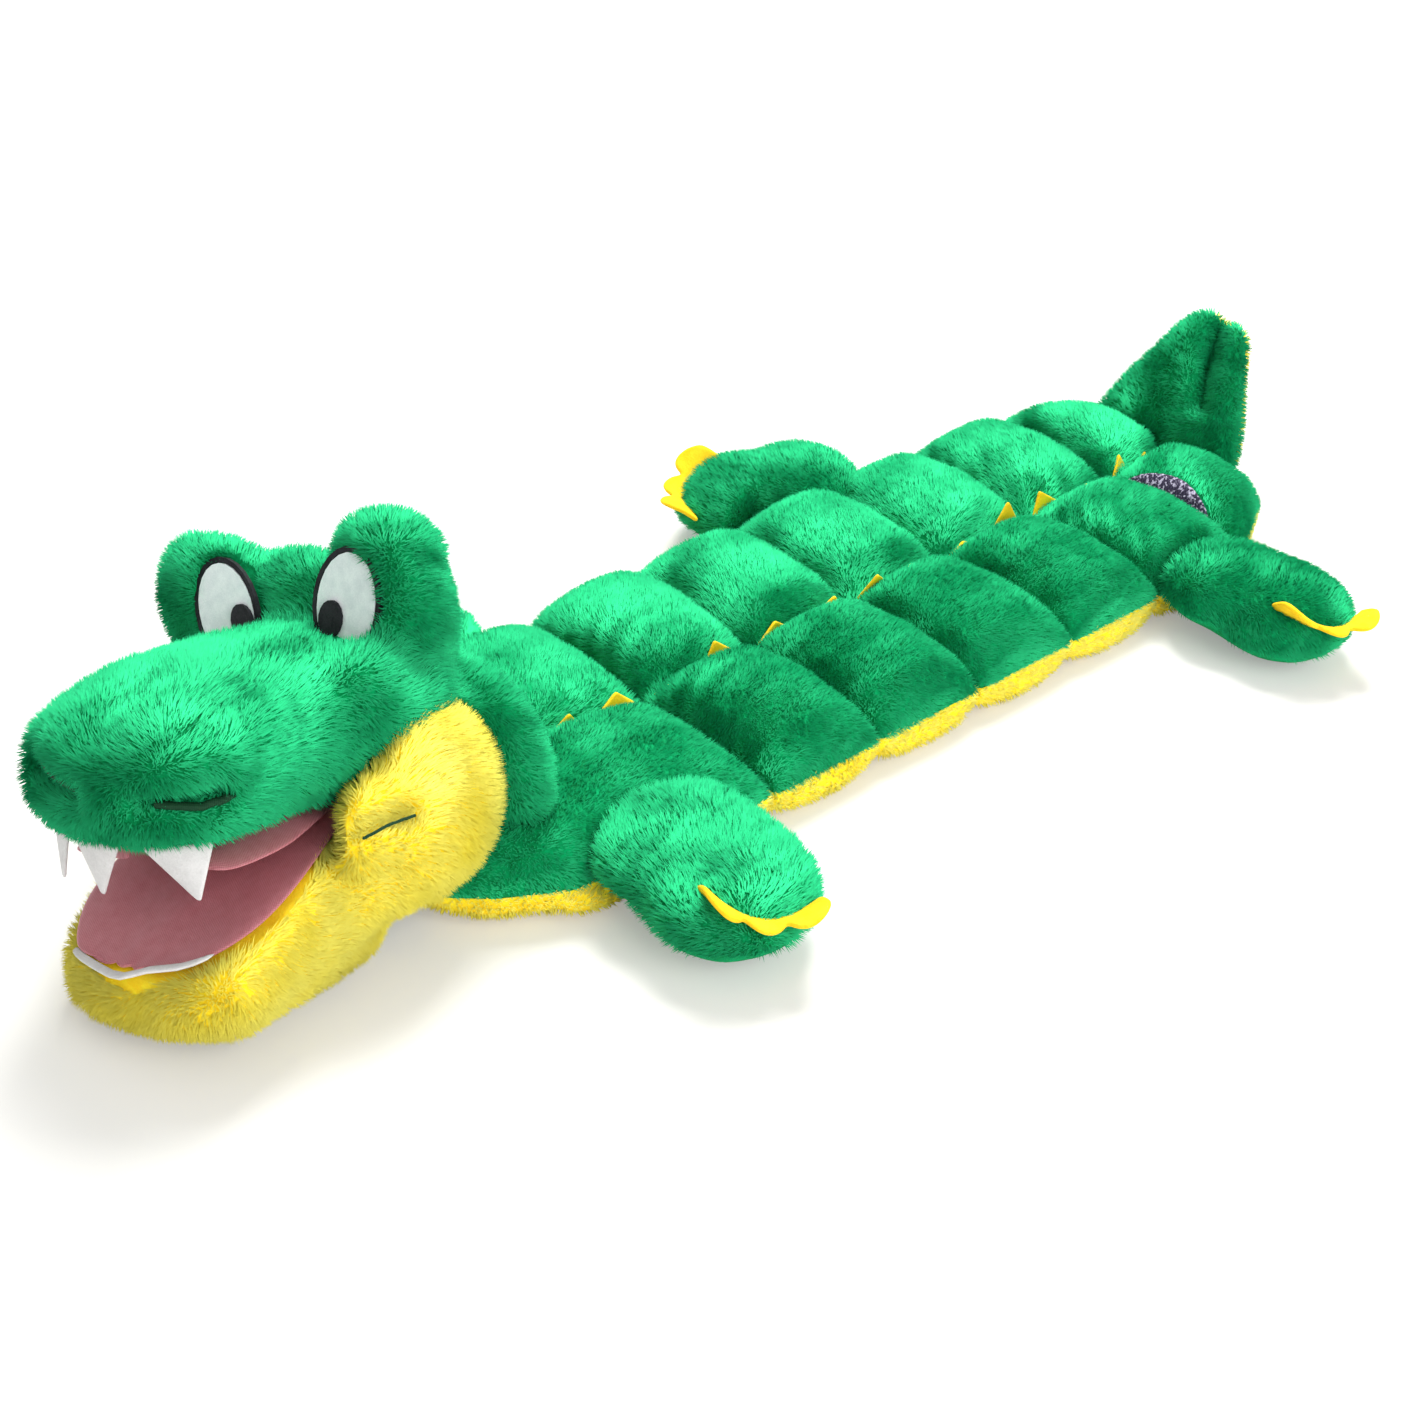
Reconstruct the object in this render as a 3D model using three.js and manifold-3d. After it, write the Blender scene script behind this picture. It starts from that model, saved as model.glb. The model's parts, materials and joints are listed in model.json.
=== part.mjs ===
// An alligator dog toy: a flat mat of squeaker pockets with a stuffed head, four paws and a raised tail.
// Millimetres. The nose points along -Y, the left flank along +X, and up is +Z.
import * as THREE from "three";
import { mergeVertices } from "three/addons/utils/BufferGeometryUtils.js";
import Module from "manifold-3d";

const wasm = await Module();
wasm.setup();

// Mat
const rowCount = 7;
const rowPitch = 51.5;
const neckReach = 72;
const neckHalfWidth = 41;
const shoulderReach = 43;
const shoulderHalfWidth = 65;
const lastRowLength = 41;
const matHalfWidth = 72;
const rumpHalfWidth = 49;
const seamHeight = 12;
const seamGap = 0.9;
const seamLip = 1.7;
const crownHeight = 20.5;
const spineHeight = 5.3;
const clearance = 0.3;
const flatCut = 0.5;
const weldDistance = 0.0002;

// Pocket outlines: how full a pocket is towards its seams
const crownRoundness = 3;
const crownFullness = 0.5;
const bellyRoundness = 6;
const bellyFullness = 0.5;
const acrossShares = [0, 0.012, 0.08, 0.25, 0.42, 0.488, 0.5, 0.512, 0.58, 0.75, 0.92, 0.988, 1];
const alongShares = [0, 0.025, 0.12, 0.3, 0.5, 0.7, 0.88, 0.975, 1];

// Squeakers
const squeakerRadius = 16.2;
const squeakerThickness = 13.2;
const squeakerWall = 1.2;
const squeakerBevel = 1.4;
const squeakerHoleRadius = 3;
const squeakerLowest = 8.4;
const squeakerSides = 12;
const pocketShare = 0.5;

// Felt spine
const feltThickness = 1.2;
const spinePointHeight = 13.8;
const spinePointsPerRow = 2;
const spineFloorHeight = 1.8;
const spineEndMargin = 1.4;
const spineTailMargin = 10.8;

// Head, in its own frame: x' to its left, y' back from the nose, z' up
const headYaw = THREE.MathUtils.degToRad(18);
const headRoll = THREE.MathUtils.degToRad(-15);
const headPitch = THREE.MathUtils.degToRad(-4);
const headSide = -19;
const headBack = 8.2;
const headRise = -12.4;
const headSections = 20;
const headSides = 26;
const headNoseRound = 24.5;
const headNapeRound = 14.4;
const headSquareness = 2.35;
const headGap = 0.6;

// Each row of a form: shares of its length, half-width and height, for its place towards the nose or
// tip, its half-width, its underside and its top
const headReach = 191.5;
const headHalfWidth = 59.5;
const headHeight = 113.5;
const headShares = [
  [1, 0.707, 0.619, 0.915],
  [0.94, 0.768, 0.566, 0.958],
  [0.84, 0.788, 0.524, 1],
  [0.721, 0.788, 0.476, 1],
  [0.621, 0.828, 0.413, 0.968],
  [0.542, 0.889, 0.106, 0.942],
  [0.426, 0.96, 0.127, 0.889],
  [0.335, 1, 0.175, 0.762],
  [0.27, 0.98, 0.185, 0.688],
  [0.194, 0.889, 0.196, 0.587],
];

// Eye mounds, which lean a little towards the right flank
const browLean = THREE.MathUtils.degToRad(-5);
const moundSide = 36;
const moundBack = -78.5;
const moundHeight = 104;
const moundHalfWidth = 24;
const moundHalfLength = 15.6;
const moundHalfHeight = 29;
const moundSides = 18;
const moundRings = 10;

// Eyes
const eyeSide = 27.5;
const eyeBack = -89;
const eyeHeight = 108.5;
const eyeTilt = THREE.MathUtils.degToRad(20);
const eyeLean = THREE.MathUtils.degToRad(18);
const eyeHalfWidth = 12.6;
const eyeHalfHeight = 16.7;
const eyeRim = 1.7;
const eyeSocketDepth = 10.8;
const whiteThickness = 1.6;
const pupilHalfWidth = 4.9;
const pupilHalfHeight = 6.1;
const pupilThickness = 1.2;
const leftPupilSide = -4.6;
const rightPupilSide = -7;
const pupilDrop = -6;
const eyeSides = 24;
const pupilSides = 16;

// Mouth: the roof falls and the floor rises towards the corner
const lipBack = -195;
const mouthBendBack = -146;
const mouthCornerBack = -108.5;
const mouthReach = 37;
const mouthHalfWidth = 98.5;
const roofLipHeight = 68;
const roofBendHeight = 62;
const roofCornerHeight = 58;
const floorLipHeight = 32.5;
const floorBendHeight = 47;
const floorCornerHeight = 49;
const roofKeys = [
  [lipBack, roofLipHeight],
  [mouthBendBack, roofBendHeight],
  [mouthCornerBack, roofCornerHeight],
];
const floorKeys = [
  [lipBack, floorLipHeight],
  [mouthBendBack, floorBendHeight],
  [mouthCornerBack, floorCornerHeight],
];
const liningThickness = 1.6;
const liningMargin = 2.8;
const liningShares = [0.2, 0.4, 0.6, 0.8, 1];
const liningBendHalfWidth = 39.5;
const liningCornerHalfWidth = 31;
const liningCornerMargin = 3.6;

// Lower jaw
const jawSections = 14;
const jawSides = 24;
const jawChinRound = 17.4;
const jawHingeRound = 10.8;
const jawSquareness = 2.5;
const jawHingeBack = -104.5;
const jawHingeRise = 36;
const jawGap = 0.3;
const jawSwings = [-5, 0, 5, 10, 14].map((angle) => THREE.MathUtils.degToRad(angle));
const jawReach = 197.5;
const jawHalfWidth = 45.5;
const jawHeight = 62;
const jawShares = [
  [1, 0.842, 0.097, 0.66],
  [0.912, 0.921, 0.039, 0.757],
  [0.815, 1, 0, 0.922],
  [0.699, 1, -0.039, 1],
  [0.614, 0.921, -0.058, 0.961],
  [0.55, 0.868, -0.039, 0.922],
];

// Cheeks
const cheekSide = 50.5;
const cheekBack = -96.5;
const cheekHeight = 50.5;
const cheekHalfThickness = 13.8;
const cheekHalfLength = 28;
const cheekHalfHeight = 32.5;
const cheekSides = 18;
const cheekRings = 10;

// Teeth: share of the way round the lip, from one side to the other, and how far the felt hangs there
const upperToothShares = [0, 0.1, 0.21, 0.33, 0.45, 0.61, 0.77, 0.9, 1];
const upperToothDrop = 15.6;
const upperDropShares = [0.15, 0.3, 0.85, 0.23, 1, 0.23, 0.85, 0.3, 0.15];
const upperArcHalfWidth = 38.5;
const upperArcLength = 26;
const upperArcBack = -161;
const toothSweep = THREE.MathUtils.degToRad(74);
const toothRoot = 6;
const lowerToothShares = [0, 0.25, 0.5, 0.75, 1];
const lowerToothRise = 7.2;
const lowerRiseShares = [0.33, 1, 0.33, 1, 0.33];
const lowerArcHalfWidth = 30;
const lowerArcLength = 21;
const lowerArcBack = -163;
const lowerToothRoot = 4.8;

// Squeaker in the muzzle
const muzzleSqueakerBack = -158.5;
const muzzleSqueakerRise = 4.8;

// Paws: each lies along its own -y', its root over the edge of the mat
const pawSections = 12;
const pawSides = 18;
const pawRootRound = 10.8;
const pawTipRound = 21.5;
const pawSquareness = 2.2;
const pawLength = 86.5;
const pawHalfWidth = 31;
const pawHeight = 42;
const pawShares = [
  [1, 0.769, 0.029, 0.857],
  [0.778, 0.962, -0.029, 0.971],
  [0.528, 1, -0.029, 1],
  [0.306, 0.885, 0, 0.971],
  [0.111, 0.692, 0.171, 0.914],
  [0, 0.538, 0.314, 0.857],
];
const pawGap = 0.6;
const pawSwingGap = 4;
const frontPawRow = 0;
const frontPawSide = 51.5;
const frontPawAlong = 12;
const frontPawTurn = THREE.MathUtils.degToRad(79);
const farPawTurn = THREE.MathUtils.degToRad(-56);
const frontPawSize = 1;
const hindPawRow = 5;
const hindPawSide = 63.5;
const hindPawAlong = 285.5;
const hindPawTurn = THREE.MathUtils.degToRad(86);
const hindPawSize = 0.92;
const sweptPawRow = 4;
const sweptPawSide = 64.5;
const sweptPawAlong = 223;
const sweptPawTurn = THREE.MathUtils.degToRad(-33);
const sweptPawSize = 0.94;

// Claws: a felt leaf with three lobes that curls up from the tip seam
const clawLobes = 3;
const clawRadius = 8.4;
const clawRoot = 7.2;
const clawBack = -79;
const clawHeight = 30;
const clawRise = THREE.MathUtils.degToRad(32);
const clawLean = THREE.MathUtils.degToRad(14);
const clawSkew = THREE.MathUtils.degToRad(21);
const clawLobeSteps = 6;

// Tail
const tailSide = -8.4;
const tailRise = THREE.MathUtils.degToRad(57);
const tailSections = 12;
const tailSides = 24;
const tailRootRound = 10.8;
const tailTipRound = 13.2;
const tailSquareness = 2.2;
const tailLength = 73;
const tailHalfWidth = 43;
const tailHalfThickness = 13.2;
const tailShares = [
  [1, 0.333, -0.636, 0.727],
  [0.77, 0.472, -0.909, 0.909],
  [0.508, 0.694, -1, 1],
  [0.246, 0.889, -1, 1],
  [-0.098, 1, -0.818, 0.818],
];

// Label
const labelSide = 24;
const labelAlong = 6;
const labelGap = 0.9;
const labelHalfWidth = 18;
const labelHalfLength = 4.8;
const labelThickness = 0.8;
const labelSteps = 8;

const finishes = {
  green: { color: 0x18ab5c, roughness: 0.95 },
  yellow: { color: 0xe6c93a, roughness: 0.95 },
  felt: { color: 0xf7c52e, roughness: 0.9 },
  satin: { color: 0xc4707f, roughness: 0.35 },
  white: { color: 0xf4f4f2, roughness: 0.9 },
  black: { color: 0x14141c, roughness: 0.6 },
  label: { color: 0x3a3350, roughness: 0.7 },
  squeaker: { color: 0xe9e6dc, roughness: 0.45 },
};

function cloth(name) {
  return new THREE.MeshStandardMaterial({ ...finishes[name], metalness: 0 });
}

// A manifold solid of a geometry, and back again.
function solid(geometry) {
  const bare = new THREE.BufferGeometry();
  bare.setAttribute("position", geometry.getAttribute("position"));
  bare.setIndex(geometry.index);
  const merged = mergeVertices(bare, weldDistance);
  return new wasm.Manifold(
    new wasm.Mesh({
      numProp: 3,
      vertProperties: merged.attributes.position.array,
      triVerts: new Uint32Array(merged.index.array),
    }),
  );
}

function geometryOf(body) {
  const made = body.getMesh();
  const geometry = new THREE.BufferGeometry();
  geometry.setAttribute("position", new THREE.BufferAttribute(made.vertProperties, made.numProp));
  geometry.setIndex(new THREE.BufferAttribute(made.triVerts, 1));
  geometry.computeVertexNormals();
  return geometry;
}

function moved(geometry, matrix) {
  return geometry.clone().applyMatrix4(matrix);
}

function shellOf(points, faces) {
  const geometry = new THREE.BufferGeometry();
  geometry.setAttribute("position", new THREE.Float32BufferAttribute(points.flat(), 3));
  geometry.setIndex(faces.flat());
  return geometry;
}

// The rows of a form in millimetres, from its shares.
function rowsOf(shares, length, halfWidth, height) {
  return shares.map(([place, half, low, high]) => [
    -place * length,
    half * halfWidth,
    low * height,
    high * height,
  ]);
}

// A smooth reading between the rows of a table whose first column is the place.
function tableReader(keys) {
  const places = keys.map((row) => row[0]);
  const width = keys[0].length - 1;
  const values = keys.flatMap((row) => row.slice(1));
  const reader = new THREE.CubicInterpolant(places, values, width);
  return (place) => [...reader.evaluate(place)];
}

// Places along a form, closer together where its ends round off.
function stationsOf(front, back, frontRound, backRound, count) {
  const turned = Math.ceil(count / 4);
  const places = [];
  for (let step = 1; step <= turned; step += 1) {
    places.push(front + frontRound * (1 - Math.cos((step / turned) * (Math.PI / 2))));
  }
  const first = front + frontRound;
  const last = back - backRound;
  const plain = count - 2 * turned;
  for (let step = 1; step < plain; step += 1) {
    places.push(first + ((last - first) * step) / plain);
  }
  for (let step = turned; step >= 1; step -= 1) {
    places.push(back - backRound * (1 - Math.cos((step / turned) * (Math.PI / 2))));
  }
  return places;
}

// A stuffed form along y': each section is a rounded outline between an underside and a top.
function stuffed({ keys, frontRound, backRound, sections, sides, squareness, grow = 0 }) {
  const front = keys[0][0];
  const back = keys[keys.length - 1][0];
  const read = tableReader(keys);
  const points = [];
  const faces = [];
  const stations = stationsOf(front, back, frontRound, backRound, sections);
  const bulge = (value) => Math.sign(value) * Math.abs(value) ** (2 / squareness);
  for (const place of stations) {
    const [half, low, high] = read(place);
    const frontShare = Math.min((place - front) / frontRound, 1);
    const backShare = Math.min((back - place) / backRound, 1);
    const round = Math.sqrt(1 - (1 - frontShare) ** 2) * Math.sqrt(1 - (1 - backShare) ** 2);
    const reach = (high - low) / 2;
    for (let side = 0; side < sides; side += 1) {
      const angle = (side / sides) * Math.PI * 2;
      const x = (half * round + grow) * bulge(Math.cos(angle));
      const z = (low + high) / 2 + (reach * round + grow) * bulge(Math.sin(angle));
      points.push([x, place, z]);
    }
  }
  const rings = stations.length;
  const at = (ring, side) => ring * sides + (side % sides);
  for (let ring = 0; ring + 1 < rings; ring += 1) {
    for (let side = 0; side < sides; side += 1) {
      faces.push([at(ring, side), at(ring + 1, side), at(ring + 1, side + 1)]);
      faces.push([at(ring, side), at(ring + 1, side + 1), at(ring, side + 1)]);
    }
  }
  const middle = (place) => {
    const [, low, high] = read(place);
    return (low + high) / 2;
  };
  const tip = points.push([0, front - grow, middle(front)]) - 1;
  const root = points.push([0, back + grow, middle(back)]) - 1;
  for (let side = 0; side < sides; side += 1) {
    faces.push([tip, at(0, side), at(0, side + 1)]);
    faces.push([root, at(rings - 1, side + 1), at(rings - 1, side)]);
  }
  return shellOf(points, faces);
}

// A quilted half: a pocket surface over a plan, closed by the flat seam plane.
function quilted({ planAt, base, heightAt, below = false }) {
  const points = [];
  const faces = [];
  const across = acrossShares.length - 1;
  const along = alongShares.length - 1;
  const at = (i, j) => j * (across + 1) + i;
  for (const v of alongShares) {
    for (const u of acrossShares) {
      const [x, y] = planAt(u, v);
      points.push([x, y, heightAt(u, v)]);
    }
  }
  for (let j = 0; j < along; j += 1) {
    for (let i = 0; i < across; i += 1) {
      faces.push([at(i, j), at(i + 1, j), at(i + 1, j + 1)]);
      faces.push([at(i, j), at(i + 1, j + 1), at(i, j + 1)]);
    }
  }
  const rim = [];
  for (let i = 0; i < across; i += 1) rim.push(at(i, 0));
  for (let j = 0; j < along; j += 1) rim.push(at(across, j));
  for (let i = across; i > 0; i -= 1) rim.push(at(i, along));
  for (let j = along; j > 0; j -= 1) rim.push(at(0, j));
  const lower = rim.map((corner) => points.push([points[corner][0], points[corner][1], base]) - 1);
  const [midX, midY] = planAt(1 / 2, 1 / 2);
  const centre = points.push([midX, midY, base]) - 1;
  rim.forEach((corner, step) => {
    const next = (step + 1) % rim.length;
    faces.push([lower[step], lower[next], rim[next]]);
    faces.push([lower[step], rim[next], corner]);
    faces.push([centre, lower[next], lower[step]]);
  });
  if (below) faces.forEach((face) => face.reverse());
  return shellOf(points, faces);
}

// A felt strip on edge along a plan path, with its own top and bottom at each place.
function feltStrip(path, tops, bottoms, thickness) {
  const points = [];
  const faces = [];
  const count = path.length;
  path.forEach((place, step) => {
    const before = path[Math.max(step - 1, 0)];
    const after = path[Math.min(step + 1, count - 1)];
    const along = new THREE.Vector2(after[0] - before[0], after[1] - before[1]).normalize();
    const aside = [along.y * (thickness / 2), -along.x * (thickness / 2)];
    points.push([place[0] + aside[0], place[1] + aside[1], bottoms[step]]);
    points.push([place[0] + aside[0], place[1] + aside[1], tops[step]]);
    points.push([place[0] - aside[0], place[1] - aside[1], tops[step]]);
    points.push([place[0] - aside[0], place[1] - aside[1], bottoms[step]]);
  });
  for (let step = 0; step + 1 < count; step += 1) {
    for (let edge = 0; edge < 4; edge += 1) {
      const a = step * 4 + edge;
      const b = step * 4 + ((edge + 1) % 4);
      faces.push([a, a + 4, b + 4]);
      faces.push([a, b + 4, b]);
    }
  }
  const last = (count - 1) * 4;
  faces.push([0, 1, 2], [0, 2, 3]);
  faces.push([last, last + 2, last + 1], [last, last + 3, last + 2]);
  return shellOf(points, faces);
}

function ellipsoid(halfX, halfY, halfZ, sides, rings) {
  return new THREE.SphereGeometry(1, sides, rings).scale(halfX, halfY, halfZ);
}

function box(lengthX, lengthY, lengthZ, x, y, z) {
  return new THREE.BoxGeometry(lengthX, lengthY, lengthZ).translate(x, y, z);
}

function ovalPlate(halfWidth, halfHeight, thickness, sides) {
  return new THREE.CylinderGeometry(1, 1, thickness, sides).scale(halfWidth, 1, halfHeight);
}

const toy = new THREE.Group();
toy.name = "alligator_dog_toy";

function addMesh(parent, name, geometry, finish) {
  const mesh = new THREE.Mesh(geometry, cloth(finish));
  mesh.name = name;
  parent.add(mesh);
  return mesh;
}

// Mat outline and pocket surfaces
const matLength = (rowCount - 1) * rowPitch + lastRowLength;
const bellyDepth = seamHeight - clearance - seamLip + flatCut;
const outlineKeys = [
  [-neckReach, neckHalfWidth],
  [-shoulderReach, shoulderHalfWidth],
  [0, matHalfWidth - clearance * 4],
  [rowPitch / 2, matHalfWidth],
  [matLength - lastRowLength - rowPitch / 2, matHalfWidth],
  [matLength - lastRowLength, matHalfWidth - clearance * 4],
  [matLength - lastRowLength / 2, (rumpHalfWidth + matHalfWidth) / 2],
  [matLength, rumpHalfWidth],
];
const outlineReader = tableReader(outlineKeys);

function matHalfWidthAt(y) {
  return Math.min(outlineReader(y)[0], matHalfWidth);
}

function arch(share, roundness, fullness) {
  const aside = Math.min(Math.abs(2 * share - 1), 1);
  return (1 - aside ** roundness) ** fullness;
}

function rowSpan(row) {
  const start = row === 0 ? -neckReach : row * rowPitch;
  const end = row === rowCount - 1 ? matLength : (row + 1) * rowPitch;
  return [start + seamGap / 2, end - seamGap / 2];
}

function planOf(row) {
  const [start, end] = rowSpan(row);
  return (u, v) => {
    const y = start + (end - start) * v;
    return [(2 * u - 1) * matHalfWidthAt(y), y];
  };
}

function crownAt(u, v) {
  const aside = Math.abs(2 * u - 1);
  const pocket = arch(aside, crownRoundness, crownFullness);
  const lane = arch(v, crownRoundness, crownFullness);
  const spine = aside < 1 / 2 ? spineHeight * lane : 0;
  return seamHeight + seamLip + Math.max(crownHeight * pocket * lane, spine);
}

function bellyAt(u, v) {
  const aside = Math.abs(2 * u - 1);
  const pocket = arch(aside, bellyRoundness, bellyFullness);
  const lane = arch(v, bellyRoundness, bellyFullness);
  const depth = seamLip + bellyDepth * Math.max(pocket, aside < 1 / 2 ? 1 / 2 : 0) * lane;
  return Math.max(seamHeight - clearance - depth, 0);
}

// The room a whole row takes up, with a margin all round, and with the air above it if it is tall
function rowRoom(row, margin, tall) {
  const inner = planOf(row);
  const planAt = (u, v) => {
    const [x, y] = inner(u, v);
    return [x + (2 * u - 1) * margin, y + (2 * v - 1) * margin];
  };
  const heightAt = (u, v) => (tall ? 2 * rowPitch : crownAt(u, v) + margin);
  return solid(quilted({ planAt, base: -rowPitch, heightAt }));
}

function crownHeightOver(row, x, y) {
  const [start, end] = rowSpan(row);
  const u = (x / matHalfWidthAt(y) + 1) / 2;
  return crownAt(u, (y - start) / (end - start));
}

// Squeakers: hollow pucks with a sound hole in the upper face
function squeakerGeometry(grow) {
  const radius = squeakerRadius + grow;
  const half = squeakerThickness / 2 + grow;
  const bevel = squeakerBevel;
  const outline = [
    [0, -half],
    [radius - bevel, -half],
    [radius, -half + bevel],
    [radius, half - bevel],
    [radius - bevel, half],
  ];
  if (grow > 0) {
    outline.push([0, half]);
  } else {
    const inner = radius - squeakerWall;
    const innerHalf = half - squeakerWall;
    outline.push([squeakerHoleRadius, half], [squeakerHoleRadius, innerHalf]);
    outline.push([inner, innerHalf], [inner, -innerHalf], [0, -innerHalf]);
  }
  const profile = outline.map(([radial, height]) => new THREE.Vector2(radial, height));
  return new THREE.LatheGeometry(profile, squeakerSides).rotateX(Math.PI / 2);
}

const squeakerSeat = squeakerGeometry(clearance);
const squeakerMiddle = squeakerLowest + squeakerThickness / 2;

function squeakerPlaces(row) {
  const start = row * rowPitch;
  const end = row === rowCount - 1 ? matLength : start + rowPitch;
  const y = (start + end) / 2;
  const x = matHalfWidthAt(y) * pocketShare;
  return [
    { side: "left", x, y },
    { side: "right", x: -x, y },
  ];
}

// Felt spine: two points per row, low at the seams
function spineStrip(row, grow) {
  const [start, end] = rowSpan(row);
  const from = row === 0 ? 0 : start + spineEndMargin;
  const to = end - (row === rowCount - 1 ? spineTailMargin : spineEndMargin);
  const floor = seamHeight + spineFloorHeight;
  const steps = spinePointsPerRow * 2;
  const path = [];
  const tops = [];
  const bottoms = [];
  for (let step = 0; step <= steps; step += 1) {
    path.push([0, from + ((to - from) * step) / steps]);
    tops.push(floor + (step % 2 === 1 ? spinePointHeight : feltThickness));
    bottoms.push(floor);
  }
  if (grow > 0) {
    const length = to - from + 2 * grow;
    const height = spinePointHeight + 2 * grow;
    return box(feltThickness + 2 * grow, length, height, 0, (from + to) / 2, floor - grow + height / 2);
  }
  return feltStrip(path, tops, bottoms, feltThickness);
}

// Head frame, and the room the head and its cheeks take up over the first row
const head = new THREE.Group();
head.name = "head";
head.rotation.set(headPitch, headRoll, headYaw, "ZXY");
head.position.set(headSide, headBack, headRise);
toy.add(head);
head.updateMatrixWorld(true);
const headForm = {
  keys: rowsOf(headShares, headReach, headHalfWidth, headHeight),
  frontRound: headNoseRound,
  backRound: headNapeRound,
  sections: headSections,
  sides: headSides,
  squareness: headSquareness,
};

function cheekPad(sign, grow) {
  const pad = ellipsoid(
    cheekHalfThickness + grow,
    cheekHalfLength + grow,
    cheekHalfHeight + grow,
    cheekSides,
    cheekRings,
  );
  return pad.translate(sign * cheekSide, cheekBack, cheekHeight);
}

const headRooms = [stuffed({ ...headForm, grow: headGap }), cheekPad(1, headGap), cheekPad(-1, headGap)];
const headRoom = headRooms
  .map((room) => solid(moved(room, head.matrixWorld)))
  .reduce((whole, room) => whole.add(room));

const mat = new THREE.Group();
mat.name = "mat";
toy.add(mat);

for (let row = 0; row < rowCount; row += 1) {
  const planAt = planOf(row);
  const bellyBase = seamHeight - clearance;
  let top = solid(quilted({ planAt, base: seamHeight, heightAt: crownAt }));
  let belly = solid(quilted({ planAt, base: bellyBase, heightAt: bellyAt, below: true }));
  for (const place of squeakerPlaces(row)) {
    const seat = solid(squeakerSeat.clone().translate(place.x, place.y, squeakerMiddle));
    top = top.subtract(seat);
    belly = belly.subtract(seat);
    const puck = addMesh(mat, `squeaker_${row + 1}_${place.side}`, squeakerGeometry(0), "squeaker");
    puck.position.set(place.x, place.y, squeakerMiddle);
  }
  top = top.subtract(solid(spineStrip(row, clearance)));
  if (row === 0) {
    top = top.subtract(headRoom);
    belly = belly.subtract(headRoom);
  }
  addMesh(mat, `top_cover_${row + 1}`, geometryOf(top), "green");
  addMesh(mat, `belly_cover_${row + 1}`, geometryOf(belly), "yellow");
  addMesh(mat, `spine_felt_${row + 1}`, spineStrip(row, 0), "felt");
}

// Label: a woven strip over the front slope of the last left pocket
const lastRow = rowCount - 1;
const [lastStart] = rowSpan(lastRow);
const labelPlan = (u, v) => [
  labelSide + (2 * u - 1) * labelHalfWidth,
  lastStart + labelAlong + (2 * v - 1) * labelHalfLength,
];

function labelGeometry() {
  const points = [];
  const faces = [];
  const at = (layer, i, j) => layer * (labelSteps + 1) * 3 + j * (labelSteps + 1) + i;
  for (const lift of [labelGap, labelGap + labelThickness]) {
    for (let j = 0; j <= 2; j += 1) {
      for (let i = 0; i <= labelSteps; i += 1) {
        const [x, y] = labelPlan(i / labelSteps, j / 2);
        points.push([x, y, crownHeightOver(lastRow, x, y) + lift]);
      }
    }
  }
  for (let j = 0; j < 2; j += 1) {
    for (let i = 0; i < labelSteps; i += 1) {
      faces.push([at(1, i, j), at(1, i + 1, j), at(1, i + 1, j + 1)]);
      faces.push([at(1, i, j), at(1, i + 1, j + 1), at(1, i, j + 1)]);
      faces.push([at(0, i, j), at(0, i + 1, j + 1), at(0, i + 1, j)]);
      faces.push([at(0, i, j), at(0, i, j + 1), at(0, i + 1, j + 1)]);
    }
  }
  const rim = [];
  for (let i = 0; i < labelSteps; i += 1) rim.push([i, 0]);
  for (let j = 0; j < 2; j += 1) rim.push([labelSteps, j]);
  for (let i = labelSteps; i > 0; i -= 1) rim.push([i, 2]);
  for (let j = 2; j > 0; j -= 1) rim.push([0, j]);
  rim.forEach(([i, j], step) => {
    const [nextI, nextJ] = rim[(step + 1) % rim.length];
    faces.push([at(0, i, j), at(0, nextI, nextJ), at(1, nextI, nextJ)]);
    faces.push([at(0, i, j), at(1, nextI, nextJ), at(1, i, j)]);
  });
  return shellOf(points, faces);
}

addMesh(mat, "hip_label", labelGeometry(), "label");

const intoHead = head.matrixWorld.clone().invert();
const span = matLength * 2;
const floorBlock = solid(moved(box(span, span, span, 0, 0, -span / 2), intoHead));

// Mouth wedge: everything between the roof and the floor of the open mouth
const mouthFront = lipBack - mouthReach;

function heightIn(keys, y) {
  const last = keys.length - 1;
  const row = keys.findIndex(([place]) => y < place);
  const step = row < 0 ? last : Math.max(row, 1);
  const [fromY, fromZ] = keys[step - 1];
  const [toY, toZ] = keys[step];
  return fromZ + ((toZ - fromZ) * (y - fromY)) / (toY - fromY);
}

function roofHeight(y) {
  return heightIn(roofKeys, y);
}

function floorHeight(y) {
  return heightIn(floorKeys, y);
}

function prismAcross(outline, halfWidth) {
  const shape = new THREE.Shape(outline.map(([y, z]) => new THREE.Vector2(y, z)));
  const geometry = new THREE.ExtrudeGeometry(shape, { depth: 2 * halfWidth, bevelEnabled: false });
  const turn = new THREE.Matrix4().set(0, 0, 1, -halfWidth, 1, 0, 0, 0, 0, 1, 0, 0, 0, 0, 0, 1);
  return geometry.applyMatrix4(turn);
}

const mouthCut = solid(
  prismAcross(
    [
      [mouthFront, -span],
      [mouthCornerBack + jawGap, -span],
      [mouthCornerBack + jawGap, roofHeight(mouthCornerBack) - jawGap],
      [mouthCornerBack, roofHeight(mouthCornerBack)],
      [mouthBendBack, roofHeight(mouthBendBack)],
      [mouthFront, roofHeight(mouthFront)],
    ],
    mouthHalfWidth,
  ),
);
const aboveFloor = solid(
  prismAcross(
    [
      [mouthFront, floorHeight(mouthFront)],
      [mouthBendBack, floorHeight(mouthBendBack)],
      [mouthCornerBack + mouthReach, floorHeight(mouthCornerBack + mouthReach)],
      [mouthCornerBack + mouthReach, span],
      [mouthFront, span],
    ],
    mouthHalfWidth,
  ),
);

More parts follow.
